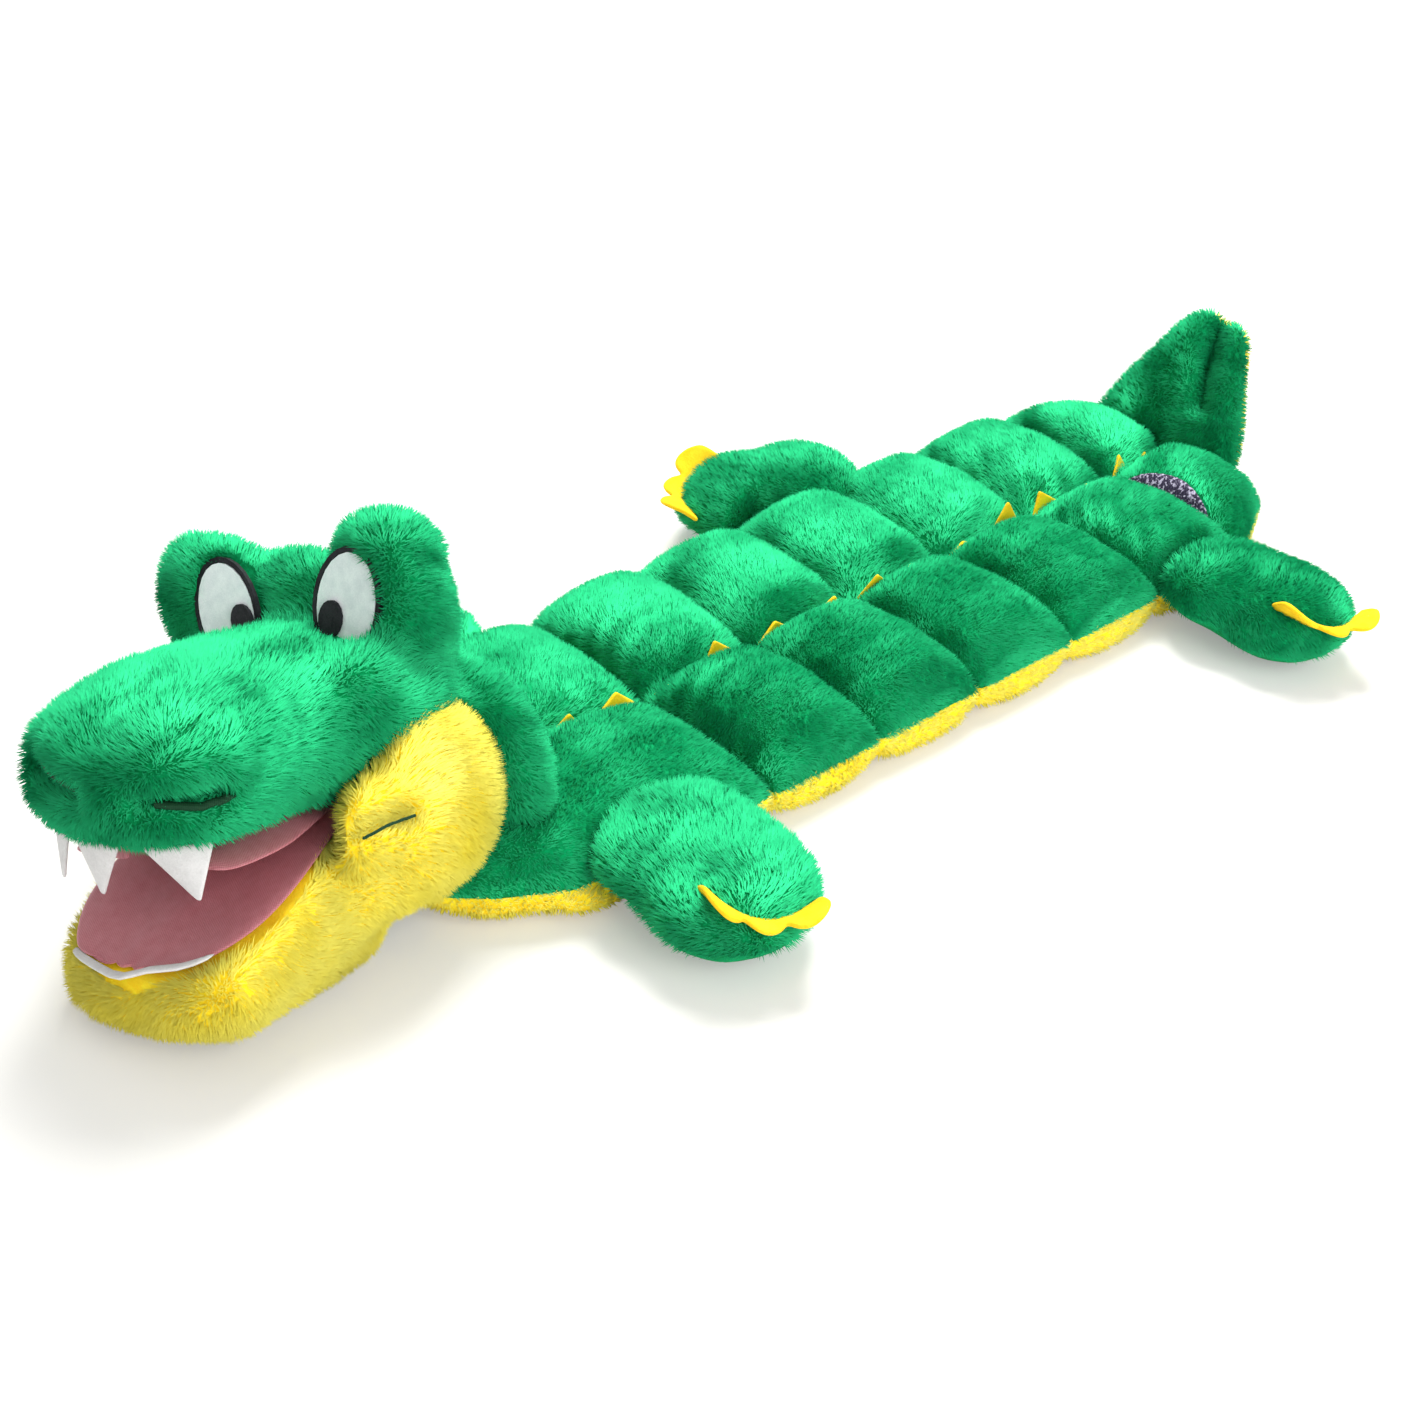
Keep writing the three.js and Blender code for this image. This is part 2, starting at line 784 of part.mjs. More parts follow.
let headBody = solid(stuffed(headForm));
const brow = new THREE.Group();
brow.name = "brow";
brow.position.set(0, 0, moundHeight);
brow.rotation.y = browLean;
brow.updateMatrix();
head.add(brow);
for (const sign of [-1, 1]) {
  const mound = ellipsoid(moundHalfWidth, moundHalfLength, moundHalfHeight, moundSides, moundRings);
  mound.translate(sign * moundSide, moundBack, 0);
  headBody = headBody.add(solid(moved(mound, brow.matrix)));
}
headBody = headBody.subtract(mouthCut);
headBody = headBody.subtract(floorBlock);

// The room the jaw swings through, out of the head and the cheeks
const jawForm = {
  keys: rowsOf(jawShares, jawReach, jawHalfWidth, jawHeight),
  frontRound: jawChinRound,
  backRound: jawHingeRound,
  sections: jawSections,
  sides: jawSides,
  squareness: jawSquareness,
};
const jawRoom = geometryOf(
  solid(stuffed({ ...jawForm, grow: jawGap })).subtract(aboveFloor.translate([0, 0, jawGap])),
);
const jawSweep = jawSwings
  .map((swing) => {
    const room = jawRoom.clone().translate(0, -jawHingeBack, -jawHingeRise).rotateX(swing);
    return solid(room.translate(0, jawHingeBack, jawHingeRise));
  })
  .reduce((whole, room) => whole.add(room));
headBody = headBody.subtract(jawSweep);

// Cheeks in their sockets
for (const [side, sign] of [
  ["left", 1],
  ["right", -1],
]) {
  headBody = headBody.subtract(solid(cheekPad(sign, clearance)));
  const padSolid = solid(cheekPad(sign, 0));
  addMesh(head, `cheek_${side}`, geometryOf(padSolid.subtract(floorBlock).subtract(jawSweep)), "yellow");
}

// Eyes: a black rim round a white oval, with a pupil on it
function eyeFrame(sign) {
  const frame = new THREE.Group();
  frame.position.set(sign * eyeSide, eyeBack, eyeHeight - moundHeight);
  frame.rotation.set(-eyeTilt, sign * eyeLean, 0);
  brow.add(frame);
  frame.updateMatrix();
  return frame;
}

for (const [side, sign, pupilSide] of [
  ["left", 1, leftPupilSide],
  ["right", -1, rightPupilSide],
]) {
  const frame = eyeFrame(sign);
  frame.name = `eye_${side}`;
  const inHead = brow.matrix.clone().multiply(frame.matrix);
  const socketWidth = eyeHalfWidth + eyeRim + 2 * clearance;
  const socketHeight = eyeHalfHeight + eyeRim + 2 * clearance;
  const socket = ovalPlate(socketWidth, socketHeight, eyeSocketDepth, eyeSides);
  socket.translate(0, -eyeSocketDepth / 2 + clearance, 0);
  headBody = headBody.subtract(solid(moved(socket, inHead)));
  const outer = solid(
    ovalPlate(eyeHalfWidth + eyeRim + clearance, eyeHalfHeight + eyeRim + clearance, whiteThickness, eyeSides),
  );
  const inner = solid(
    ovalPlate(eyeHalfWidth + clearance, eyeHalfHeight + clearance, whiteThickness * 2, eyeSides),
  );
  const rim = addMesh(frame, `eye_rim_${side}`, geometryOf(outer.subtract(inner)), "black");
  rim.position.y = -whiteThickness / 2;
  const white = ovalPlate(eyeHalfWidth, eyeHalfHeight, whiteThickness, eyeSides);
  addMesh(frame, `eye_white_${side}`, white, "white").position.y = -whiteThickness / 2;
  const pupil = ovalPlate(pupilHalfWidth, pupilHalfHeight, pupilThickness, pupilSides);
  const pupilMesh = addMesh(frame, `pupil_${side}`, pupil, "black");
  pupilMesh.position.set(sign * pupilSide, -whiteThickness - clearance - pupilThickness / 2, pupilDrop);
}

// Places round a lip, from its right side to its left
function lipArc(halfWidth, length, back, shares) {
  return shares.map((share) => {
    const angle = (share * 2 - 1) * toothSweep;
    return [halfWidth * Math.sin(angle), back - length * Math.cos(angle)];
  });
}

// Linings of the roof and the floor of the mouth: rows across, from the lip to the corner
function liningRows(halfWidth, length, back) {
  const rows = liningShares.map((share) => {
    const angle = share * toothSweep;
    return [
      back - (length - liningMargin) * Math.cos(angle),
      (halfWidth - liningMargin) * Math.sin(angle),
    ];
  });
  rows.push([mouthBendBack, liningBendHalfWidth]);
  rows.push([mouthCornerBack - liningCornerMargin, liningCornerHalfWidth]);
  return rows;
}

function lining(rows, heightAt, lift) {
  const points = [];
  const faces = [];
  for (const [y, half] of rows) {
    const low = heightAt(y) + lift - liningThickness / 2;
    const high = low + liningThickness;
    points.push([-half, y, low], [half, y, low], [half, y, high], [-half, y, high]);
  }
  const last = (rows.length - 1) * 4;
  for (let first = 0; first < last; first += 4) {
    for (let edge = 0; edge < 4; edge += 1) {
      const a = first + edge;
      const b = first + ((edge + 1) % 4);
      faces.push([a, b, b + 4], [a, b + 4, a + 4]);
    }
  }
  faces.push([0, 2, 1], [0, 3, 2]);
  faces.push([last, last + 1, last + 2], [last, last + 2, last + 3]);
  return shellOf(points, faces.map((face) => face.reverse()));
}

const liningLift = liningThickness / 2 + clearance;
const roofRows = liningRows(upperArcHalfWidth, upperArcLength, upperArcBack);
const floorRows = liningRows(lowerArcHalfWidth, lowerArcLength, lowerArcBack);
addMesh(head, "mouth_roof_lining", lining(roofRows, roofHeight, -liningLift), "satin");

// Teeth: felt strips round the lips
const upperArc = lipArc(upperArcHalfWidth, upperArcLength, upperArcBack, upperToothShares);
const upperTops = upperArc.map(([, y]) => roofHeight(y) + toothRoot);
const upperBottoms = upperArc.map(([, y], step) => roofHeight(y) - upperToothDrop * upperDropShares[step]);
const upperSlotTops = upperTops.map((height) => height + clearance);
const upperSlot = feltStrip(upperArc, upperSlotTops, upperBottoms, feltThickness + 2 * clearance);
headBody = headBody.subtract(solid(upperSlot));
addMesh(head, "upper_teeth", feltStrip(upperArc, upperTops, upperBottoms, feltThickness), "white");

// Squeaker in the muzzle, in a pocket that opens to the roof of the mouth
const muzzleSqueakerHeight =
  roofHeight(muzzleSqueakerBack) + muzzleSqueakerRise + squeakerThickness / 2;
const muzzleSeat = new THREE.CylinderGeometry(
  squeakerRadius + clearance,
  squeakerRadius + clearance,
  squeakerThickness + muzzleSqueakerRise * 3,
  squeakerSides,
);
muzzleSeat.rotateX(Math.PI / 2);
muzzleSeat.translate(0, muzzleSqueakerBack, muzzleSqueakerHeight - muzzleSqueakerRise * 3 / 2 + clearance);
headBody = headBody.subtract(solid(muzzleSeat));
const muzzlePuck = addMesh(head, "squeaker_muzzle", squeakerGeometry(0), "squeaker");
muzzlePuck.position.set(0, muzzleSqueakerBack, muzzleSqueakerHeight);

// Lower jaw, hinged behind the mouth corner
const jaw = new THREE.Group();
jaw.name = "jaw";
head.add(jaw);
let jawBody = solid(stuffed(jawForm)).subtract(aboveFloor).subtract(floorBlock);
const lowerArc = lipArc(lowerArcHalfWidth, lowerArcLength, lowerArcBack, lowerToothShares);
const lowerTops = lowerArc.map(([, y], step) => floorHeight(y) + lowerToothRise * lowerRiseShares[step]);
const lowerBottoms = lowerArc.map(([, y]) => floorHeight(y) - lowerToothRoot);
const lowerSlotBottoms = lowerBottoms.map((height) => height - clearance);
const lowerSlot = feltStrip(lowerArc, lowerTops, lowerSlotBottoms, feltThickness + 2 * clearance);
jawBody = jawBody.subtract(solid(lowerSlot));
addMesh(jaw, "lower_jaw", geometryOf(jawBody), "yellow");
addMesh(jaw, "lower_teeth", feltStrip(lowerArc, lowerTops, lowerBottoms, feltThickness), "white");
addMesh(jaw, "mouth_floor_lining", lining(floorRows, floorHeight, liningLift), "satin");

addMesh(head, "head_plush", geometryOf(headBody), "green");

// Paws
const pawForm = {
  frontRound: pawTipRound,
  backRound: pawRootRound,
  sections: pawSections,
  sides: pawSides,
  squareness: pawSquareness,
};

const clawHalfWidth = clawLobes * clawRadius;

function setClaws(geometry, size, hand) {
  geometry.rotateX(-clawRise);
  geometry.rotateZ(-hand * clawSkew);
  geometry.rotateY(hand * clawLean);
  return geometry.translate(0, clawBack * size, clawHeight * size);
}

function clawLeaf(size, hand) {
  const shape = new THREE.Shape();
  shape.moveTo(-clawHalfWidth, clawRoot);
  for (let lobe = 0; lobe < clawLobes; lobe += 1) {
    const centre = -clawHalfWidth + clawRadius * (2 * lobe + 1);
    shape.absarc(centre, 0, clawRadius, Math.PI, 2 * Math.PI, false);
  }
  shape.lineTo(clawHalfWidth, clawRoot);
  const options = { depth: feltThickness, bevelEnabled: false, curveSegments: clawLobeSteps };
  const leaf = new THREE.ExtrudeGeometry(shape, options).translate(0, 0, -feltThickness / 2);
  return setClaws(leaf, size, hand);
}

function clawSlot(size, hand) {
  const width = 2 * (clawHalfWidth + clearance);
  const length = clawRadius + clawRoot + 2 * clearance;
  const slot = box(width, length, feltThickness + 2 * clearance, 0, (clawRoot - clawRadius) / 2, 0);
  return setClaws(slot, size, hand);
}

const pawPlaces = [
  ["front_left", frontPawSide, frontPawAlong, frontPawTurn, frontPawSize, 1, frontPawRow],
  ["front_right", -frontPawSide, frontPawAlong, farPawTurn, frontPawSize, -1, frontPawRow],
  ["hind_left", hindPawSide, hindPawAlong, hindPawTurn, hindPawSize, 1, hindPawRow],
  ["hind_right", -sweptPawSide, sweptPawAlong, sweptPawTurn, sweptPawSize, 1, sweptPawRow],
];

for (const [name, side, along, turn, size, hand, ownRow] of pawPlaces) {
  const paw = new THREE.Group();
  paw.name = `paw_${name}`;
  paw.rotation.z = turn;
  paw.position.set(side, along, 0);
  toy.add(paw);
  paw.updateMatrixWorld(true);
  const intoPaw = paw.matrixWorld.clone().invert();
  const ground = solid(moved(box(span, span, span, 0, 0, -span / 2), intoPaw));
  const keys = rowsOf(pawShares, pawLength * size, pawHalfWidth * size, pawHeight * size);
  let pawBody = solid(stuffed({ ...pawForm, keys })).subtract(ground);
  for (const row of [ownRow - 1, ownRow, ownRow + 1]) {
    if (row < 0) continue;
    const own = row === ownRow;
    const room = geometryOf(rowRoom(row, own ? pawGap : pawSwingGap, !own));
    pawBody = pawBody.subtract(solid(moved(room, intoPaw)));
  }
  pawBody = pawBody.subtract(solid(clawSlot(size, hand)));
  addMesh(paw, `${name}_paw`, geometryOf(pawBody), "green");
  addMesh(paw, `${name}_claws`, clawLeaf(size, hand), "felt");
}

// Tail, raised from the last seam
const tail = new THREE.Group();
tail.name = "tail";
tail.rotation.set(tailRise - Math.PI, 0, 0);
tail.position.set(tailSide, matLength, seamHeight);
toy.add(tail);
const tailForm = {
  keys: rowsOf(tailShares, tailLength, tailHalfWidth, tailHalfThickness),
  frontRound: tailTipRound,
  backRound: tailRootRound,
  sections: tailSections,
  sides: tailSides,
  squareness: tailSquareness,
};
tail.updateMatrixWorld(true);
const intoTail = tail.matrixWorld.clone().invert();
const lastRoom = geometryOf(rowRoom(lastRow, pawGap, false));
const tailBody = solid(stuffed(tailForm)).subtract(solid(moved(lastRoom, intoTail)));
addMesh(tail, "tail_plush", geometryOf(tailBody), "green");

// The origin is under the middle of the toy, on the floor
toy.updateMatrixWorld(true);
const bounds = new THREE.Box3().setFromObject(toy, true);
const middle = bounds.getCenter(new THREE.Vector3());
toy.position.set(-middle.x, -middle.y, -bounds.min.z);

export default toy;
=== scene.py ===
import json
from math import cos, pi, radians, sin

import bpy
import numpy as np
from mathutils import Matrix, Vector, kdtree

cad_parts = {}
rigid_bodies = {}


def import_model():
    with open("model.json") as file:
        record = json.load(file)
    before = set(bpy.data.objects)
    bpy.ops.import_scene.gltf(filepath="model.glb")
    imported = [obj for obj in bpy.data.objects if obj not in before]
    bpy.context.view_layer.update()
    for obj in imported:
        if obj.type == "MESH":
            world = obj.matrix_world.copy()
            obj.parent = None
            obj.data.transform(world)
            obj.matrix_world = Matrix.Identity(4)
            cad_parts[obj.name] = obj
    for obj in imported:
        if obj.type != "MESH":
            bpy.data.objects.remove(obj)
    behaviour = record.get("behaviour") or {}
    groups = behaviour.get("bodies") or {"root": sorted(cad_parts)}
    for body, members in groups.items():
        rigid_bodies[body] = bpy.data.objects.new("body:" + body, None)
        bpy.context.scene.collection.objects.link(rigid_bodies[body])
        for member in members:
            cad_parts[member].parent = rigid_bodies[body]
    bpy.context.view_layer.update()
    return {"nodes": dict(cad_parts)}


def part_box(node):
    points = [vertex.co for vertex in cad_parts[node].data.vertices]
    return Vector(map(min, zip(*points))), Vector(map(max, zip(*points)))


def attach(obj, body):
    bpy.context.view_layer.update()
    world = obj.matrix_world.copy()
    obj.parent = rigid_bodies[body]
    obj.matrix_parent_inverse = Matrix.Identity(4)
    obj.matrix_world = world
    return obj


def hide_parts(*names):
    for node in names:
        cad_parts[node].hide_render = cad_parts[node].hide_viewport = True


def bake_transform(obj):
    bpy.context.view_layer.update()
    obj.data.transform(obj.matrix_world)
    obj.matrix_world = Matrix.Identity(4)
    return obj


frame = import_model()
nodes = frame["nodes"]

# Sizes of the toy, in millimetres as its maker would say them
mm = 0.001
row_count = 7
floor_gap = 0.2
seam_height = 12.0
toy_shift = Vector((-5.98, -105.2, 0.0))
head_angles = (radians(-4), radians(-15), radians(18))
head_place = Vector((-19.0, 8.2, -12.4))
tail_place = Vector((-8.4, 350.0, 12.0))
tail_turn = radians(57) - pi
leg_places = {
    "front_left": ((51.5, 12.0), 79, 1.0),
    "front_right": ((-51.5, 12.0), -56, 1.0),
    "hind_left": ((63.5, 285.5), 86, 0.92),
    "hind_right": ((-64.5, 223.0), -33, 0.94),
}


def placed(place, turn):
    """The frame of a limb, from millimetres of the limb to metres of the toy."""
    return Matrix.Translation((place + toy_shift) * mm) @ turn @ Matrix.Scale(mm, 4)


pitch, roll, yaw = head_angles
head_turn = Matrix.Rotation(yaw, 4, "Z") @ Matrix.Rotation(pitch, 4, "X")
head_turn = head_turn @ Matrix.Rotation(roll, 4, "Y")
head_axes = head_turn.to_3x3()
head_frame = placed(head_place, head_turn)
tail_frame = placed(tail_place, Matrix.Rotation(tail_turn, 4, "X"))
leg_frames = {
    name: placed(Vector((*spot, 0.0)), Matrix.Rotation(radians(turn), 4, "Z"))
    for name, (spot, turn, _) in leg_places.items()
}
eye_frames = [
    head_frame
    @ Matrix.Translation((0, 0, 104))
    @ Matrix.Rotation(radians(-5), 4, "Y")
    @ Matrix.Translation((hand * 27.5, -89, 4.5))
    @ Matrix.Rotation(radians(-20), 4, "X")
    @ Matrix.Rotation(radians(hand * 18), 4, "Y")
    for hand in (1, -1)
]
label_middle, label_half, label_front, label_depth = 24.0, 27.0, 204.5, 6.8
eye_half_width, eye_half_height, eye_reach = 14.3, 18.4, 8.0
lip_back = -112
crown_back = -96
floor_backs = (-193, -190, -184, -172, -160, -146, -130, -108)
floor_halves = (10, 20, 30, 38, 40, 39.5, 34, 28)
claw_hands = {"front_left": 1, "front_right": -1, "hind_left": 1, "hind_right": 1}


def in_frame(place, points):
    """Points of the toy in a limb's own millimetres."""
    inverse = np.array(place.inverted())
    return points @ inverse[:3, :3].T + inverse[:3, 3]


# Camera at the photograph's angle
camera_data = bpy.data.cameras.new("camera")
camera = bpy.data.objects.new("camera", camera_data)
bpy.context.scene.collection.objects.link(camera)
camera.location = (0.5237, -0.4731, 0.4689)
camera.rotation_euler = (radians(55.943), 0.0, radians(49.586))
camera_data.lens = 55.77
camera_data.sensor_width = 36.0
camera_data.clip_start = 0.01
bpy.context.scene.camera = camera


# Finishes
def new_group(name, inputs, outputs):
    group = bpy.data.node_groups.new(name, "ShaderNodeTree")
    for label, kind, value in inputs:
        socket = group.interface.new_socket(label, in_out="INPUT", socket_type=kind)
        socket.default_value = value
    for label, kind in outputs:
        group.interface.new_socket(label, in_out="OUTPUT", socket_type=kind)
    ends = group.nodes.new("NodeGroupInput"), group.nodes.new("NodeGroupOutput")
    return group, ends[0], ends[1]


def give(tree, socket, given):
    """Feeds a socket from another node's output, or with a plain value."""
    if hasattr(given, "is_linked"):
        tree.links.new(given, socket)
    else:
        socket.default_value = given


def scaled_in(tree, vector, factor):
    node = tree.nodes.new("ShaderNodeVectorMath")
    node.operation = "SCALE"
    tree.links.new(vector, node.inputs[0])
    tree.links.new(factor, node.inputs["Scale"])
    return node.outputs[0]


def noise_in(tree, coordinate, size, detail, rough=0.55):
    node = tree.nodes.new("ShaderNodeTexNoise")
    node.inputs["Scale"].default_value = 1.0 / size
    node.inputs["Detail"].default_value = detail
    node.inputs["Roughness"].default_value = rough
    tree.links.new(coordinate, node.inputs["Vector"])
    return node.outputs["Fac"]


def spread_in(tree, value, low, high, out_low=0.0, out_high=1.0):
    node = tree.nodes.new("ShaderNodeMapRange")
    node.inputs["From Min"].default_value = low
    node.inputs["From Max"].default_value = high
    node.inputs["To Min"].default_value = out_low
    node.inputs["To Max"].default_value = out_high
    tree.links.new(value, node.inputs["Value"])
    return node.outputs["Result"]


def mix_in(tree, share, first, second):
    node = tree.nodes.new("ShaderNodeMix")
    node.data_type = "RGBA"
    for socket, given in zip((node.inputs[0], node.inputs[6], node.inputs[7]), (share, first, second)):
        give(tree, socket, given)
    return node.outputs[2]


def math_in(tree, way, first, second):
    node = tree.nodes.new("ShaderNodeMath")
    node.operation = way
    for socket, given in zip(node.inputs, (first, second)):
        give(tree, socket, given)
    return node.outputs[0]


# Sizes of the patterns in the cloth, in metres
patch_size, tuft_patch_size = 0.026, 0.0032
fibre_size, felt_patch_size, worn_size = 0.0007, 0.006, 0.004
plain_gloss, pile_gloss = 0.12, 0.04


def shades_group():
    """Lighter and darker pile: painted sheen and shade by the way it is brushed, tone that differs at
    random in broad patches and tuft by tuft, and painted shade at the roots.
    """
    inputs = [
        ("Height", "NodeSocketFloat", 0.5),
        ("Brushing", "NodeSocketFloat", 0.5),
        ("RootShade", "NodeSocketColor", (0, 0, 0, 1)),
        ("Middle", "NodeSocketColor", (0.5, 0.5, 0.5, 1)),
        ("Bright", "NodeSocketColor", (1, 1, 1, 1)),
    ]
    group, start, end = new_group("pile_shades", inputs, [("Color", "NodeSocketColor")])
    place = group.nodes.new("ShaderNodeTexCoord").outputs["Object"]
    patches = spread_in(group, noise_in(group, place, patch_size, 2), 0.40, 0.62)
    tufts = spread_in(group, noise_in(group, place, tuft_patch_size, 2), 0.34, 0.68)
    # Painted sheen and shade: the way the pile is brushed makes it lighter or darker
    nap_sheen = spread_in(group, start.outputs["Brushing"], 0.2, 1.05, 0.0, 0.62)
    lift = math_in(group, "ADD", nap_sheen, math_in(group, "MULTIPLY", patches, 0.26))
    lift = math_in(group, "ADD", lift, math_in(group, "MULTIPLY", tufts, 0.12))
    top = mix_in(group, lift, start.outputs["Middle"], start.outputs["Bright"])
    # Painted shade: the roots of the pile are painted darker, as shade low in the pile
    shade = spread_in(group, start.outputs["Height"], 0.0, 0.55)
    shaded_roots = mix_in(group, 0.7, start.outputs["RootShade"], top)
    colour = mix_in(group, shade, shaded_roots, top)
    group.links.new(colour, end.inputs["Color"])
    return group


def fibres_group():
    """Short matted fibres, for felt, the backing of the pile and the squeaker."""
    inputs = [
        ("First", "NodeSocketColor", (0.5, 0.5, 0.5, 1)),
        ("Second", "NodeSocketColor", (0.6, 0.6, 0.6, 1)),
        ("Fineness", "NodeSocketFloat", 1.0),
    ]
    outputs = [("Color", "NodeSocketColor"), ("Height", "NodeSocketFloat")]
    group, start, end = new_group("matted_fibres", inputs, outputs)
    place = group.nodes.new("ShaderNodeTexCoord").outputs["Object"]
    scaled = scaled_in(group, place, start.outputs["Fineness"])
    fine = noise_in(group, scaled, fibre_size, 4, 0.7)
    broad = noise_in(group, scaled, felt_patch_size, 2)
    share = spread_in(group, math_in(group, "ADD", fine, broad), 0.75, 1.25)
    colour = mix_in(group, share, start.outputs["First"], start.outputs["Second"])
    group.links.new(colour, end.inputs["Color"])
    group.links.new(fine, end.inputs["Height"])
    return group


def weave_group():
    """Crossing threads, which stand up where the one lies over the other."""
    inputs = [
        ("Warp", "NodeSocketColor", (0.5, 0.5, 0.5, 1)),
        ("Weft", "NodeSocketColor", (0.6, 0.6, 0.6, 1)),
        ("Thread Length", "NodeSocketFloat", 0.0006),
    ]
    outputs = [("Color", "NodeSocketColor"), ("Height", "NodeSocketFloat")]
    group, start, end = new_group("crossing_threads", inputs, outputs)
    place = group.nodes.new("ShaderNodeTexCoord").outputs["Object"]
    inverse = math_in(group, "DIVIDE", 2 * pi, start.outputs["Thread Length"])
    split = group.nodes.new("ShaderNodeSeparateXYZ")
    group.links.new(scaled_in(group, place, inverse), split.inputs[0])
    along = math_in(group, "SINE", split.outputs["X"], 0.0)
    across = math_in(group, "SINE", split.outputs["Y"], 0.0)
    height = math_in(group, "MULTIPLY", along, across)
    worn = math_in(group, "MULTIPLY", noise_in(group, place, worn_size, 2), 0.5)
    share = math_in(group, "ADD", spread_in(group, height, -1.0, 1.0, 0.0, 0.6), worn)
    colour = mix_in(group, share, start.outputs["Warp"], start.outputs["Weft"])
    group.links.new(colour, end.inputs["Color"])
    group.links.new(height, end.inputs["Height"])
    return group


pile_shades = shades_group()
matted_fibres = fibres_group()
crossing_threads = weave_group()


def finish_of(name, rough, sheen, sheen_colour):
    material = bpy.data.materials.new(name)
    material.use_nodes = True
    tree = material.node_tree
    surface = tree.nodes["Principled BSDF"]
    surface.inputs["Roughness"].default_value = rough
    surface.inputs["Sheen Weight"].default_value = sheen
    surface.inputs["Sheen Roughness"].default_value = 0.45
    surface.inputs["Sheen Tint"].default_value = sheen_colour
    surface.inputs["Specular IOR Level"].default_value = plain_gloss
    return material, tree, surface


def group_in(tree, group, **values):
    node = tree.nodes.new("ShaderNodeGroup")
    node.node_tree = group
    for label, value in values.items():
        give(tree, node.inputs[label.replace("_", " ")], value)
    return node


def raise_surface(tree, surface, height, strength, distance):
    bump = tree.nodes.new("ShaderNodeBump")
    bump.inputs["Strength"].default_value = strength
    bump.inputs["Distance"].default_value = distance
    tree.links.new(height, bump.inputs["Height"])
    tree.links.new(bump.outputs["Normal"], surface.inputs["Normal"])


def pile_finish(name, root_shade, middle, bright):
    material, tree, surface = finish_of(name, 0.8, 0.35, bright)
    surface.inputs["Specular IOR Level"].default_value = pile_gloss
    given = {"RootShade": root_shade, "Middle": middle, "Bright": bright}
    for label in ("Height", "Brushing"):
        node = tree.nodes.new("ShaderNodeAttribute")
        node.attribute_name = f"pile_{label.lower()}"
        given[label] = node.outputs["Fac"]
    shades = group_in(tree, pile_shades, **given)
    tree.links.new(shades.outputs["Color"], surface.inputs["Base Color"])
    return material


def cloth_finish(name, first, second, fineness=1.0, rough=0.95, sheen=0.3, depth=0.0004):
    material, tree, surface = finish_of(name, rough, sheen, second)
    fibres = group_in(tree, matted_fibres, First=first, Second=second, Fineness=fineness)
    tree.links.new(fibres.outputs["Color"], surface.inputs["Base Color"])
    raise_surface(tree, surface, fibres.outputs["Height"], 0.6, depth)
    return material


def woven_finish(name, warp, weft, length, rough, sheen, depth=0.0001, flecks=None):
    material, tree, surface = finish_of(name, rough, sheen, weft)
    threads = group_in(tree, crossing_threads, Warp=warp, Weft=weft, Thread_Length=length)
    colour = threads.outputs["Color"]
    if flecks:
        place = tree.nodes.new("ShaderNodeTexCoord").outputs["Object"]
        share = spread_in(tree, noise_in(tree, place, length, 1), 0.52, 0.64)
        colour = mix_in(tree, share, colour, flecks)
    tree.links.new(colour, surface.inputs["Base Color"])
    raise_surface(tree, surface, threads.outputs["Height"], 0.5, depth)
    return material


# Painted shade: the deep colours are the shade low in the pile, painted at the roots of the tufts and
# as the first colour of the backing between them; the yellow one is warmed to orange as the yellow
# pile's shade
green_root_shade = (0.0, 0.13, 0.036, 1)
green_pile = pile_finish("green_pile", green_root_shade, (0.0, 0.195, 0.062, 1), (0.035, 0.66, 0.27, 1))
yellow_root_shade = (0.90, 0.58, 0.012, 1)
yellow_pile = pile_finish("yellow_pile", yellow_root_shade, (0.90, 0.74, 0.045, 1), (0.94, 0.86, 0.16, 1))
green_backing = cloth_finish("green_backing", green_root_shade, (0.0, 0.30, 0.10, 1))
yellow_backing = cloth_finish("yellow_backing", yellow_root_shade, (0.93, 0.76, 0.03, 1))
yellow_felt = cloth_finish("yellow_felt", (0.78, 0.45, 0.008, 1), (0.90, 0.58, 0.02, 1))
white_felt = cloth_finish("white_felt", (0.54, 0.53, 0.52, 1), (0.66, 0.65, 0.64, 1))
eye_felt = cloth_finish("eye_felt", (0.68, 0.71, 0.74, 1), (0.82, 0.84, 0.86, 1), 1.4, 0.7)
black_felt = cloth_finish("black_felt", (0.004, 0.004, 0.006, 1), (0.02, 0.02, 0.024, 1), 1.0, 0.6)
pink_satin = woven_finish(
    "pink_satin", (0.30, 0.068, 0.085, 1), (0.54, 0.22, 0.245, 1), 0.0009, 0.38, 0.5
)
woven_label = woven_finish(
    "woven_label", (0.006, 0.005, 0.012, 1), (0.05, 0.04, 0.08, 1), 0.0014, 0.6, 0.1, 0.0002,
    (0.40, 0.36, 0.48, 1),
)
dark_thread = woven_finish(
    "dark_thread", (0.0, 0.02, 0.008, 1), (0.01, 0.05, 0.02, 1), 0.0008, 0.6, 0.2
)
squeaker_plastic = cloth_finish(
    "squeaker_plastic", (0.72, 0.74, 0.74, 1), (0.80, 0.82, 0.82, 1), 0.5, 0.35, 0.0, 0.0001
)


# Stuffed skins
def pick_only(*objects):
    for other in bpy.context.view_layer.objects.selected[:]:
        other.select_set(False)
    for one in objects:
        one.select_set(True)
    bpy.context.view_layer.objects.active = objects[0]


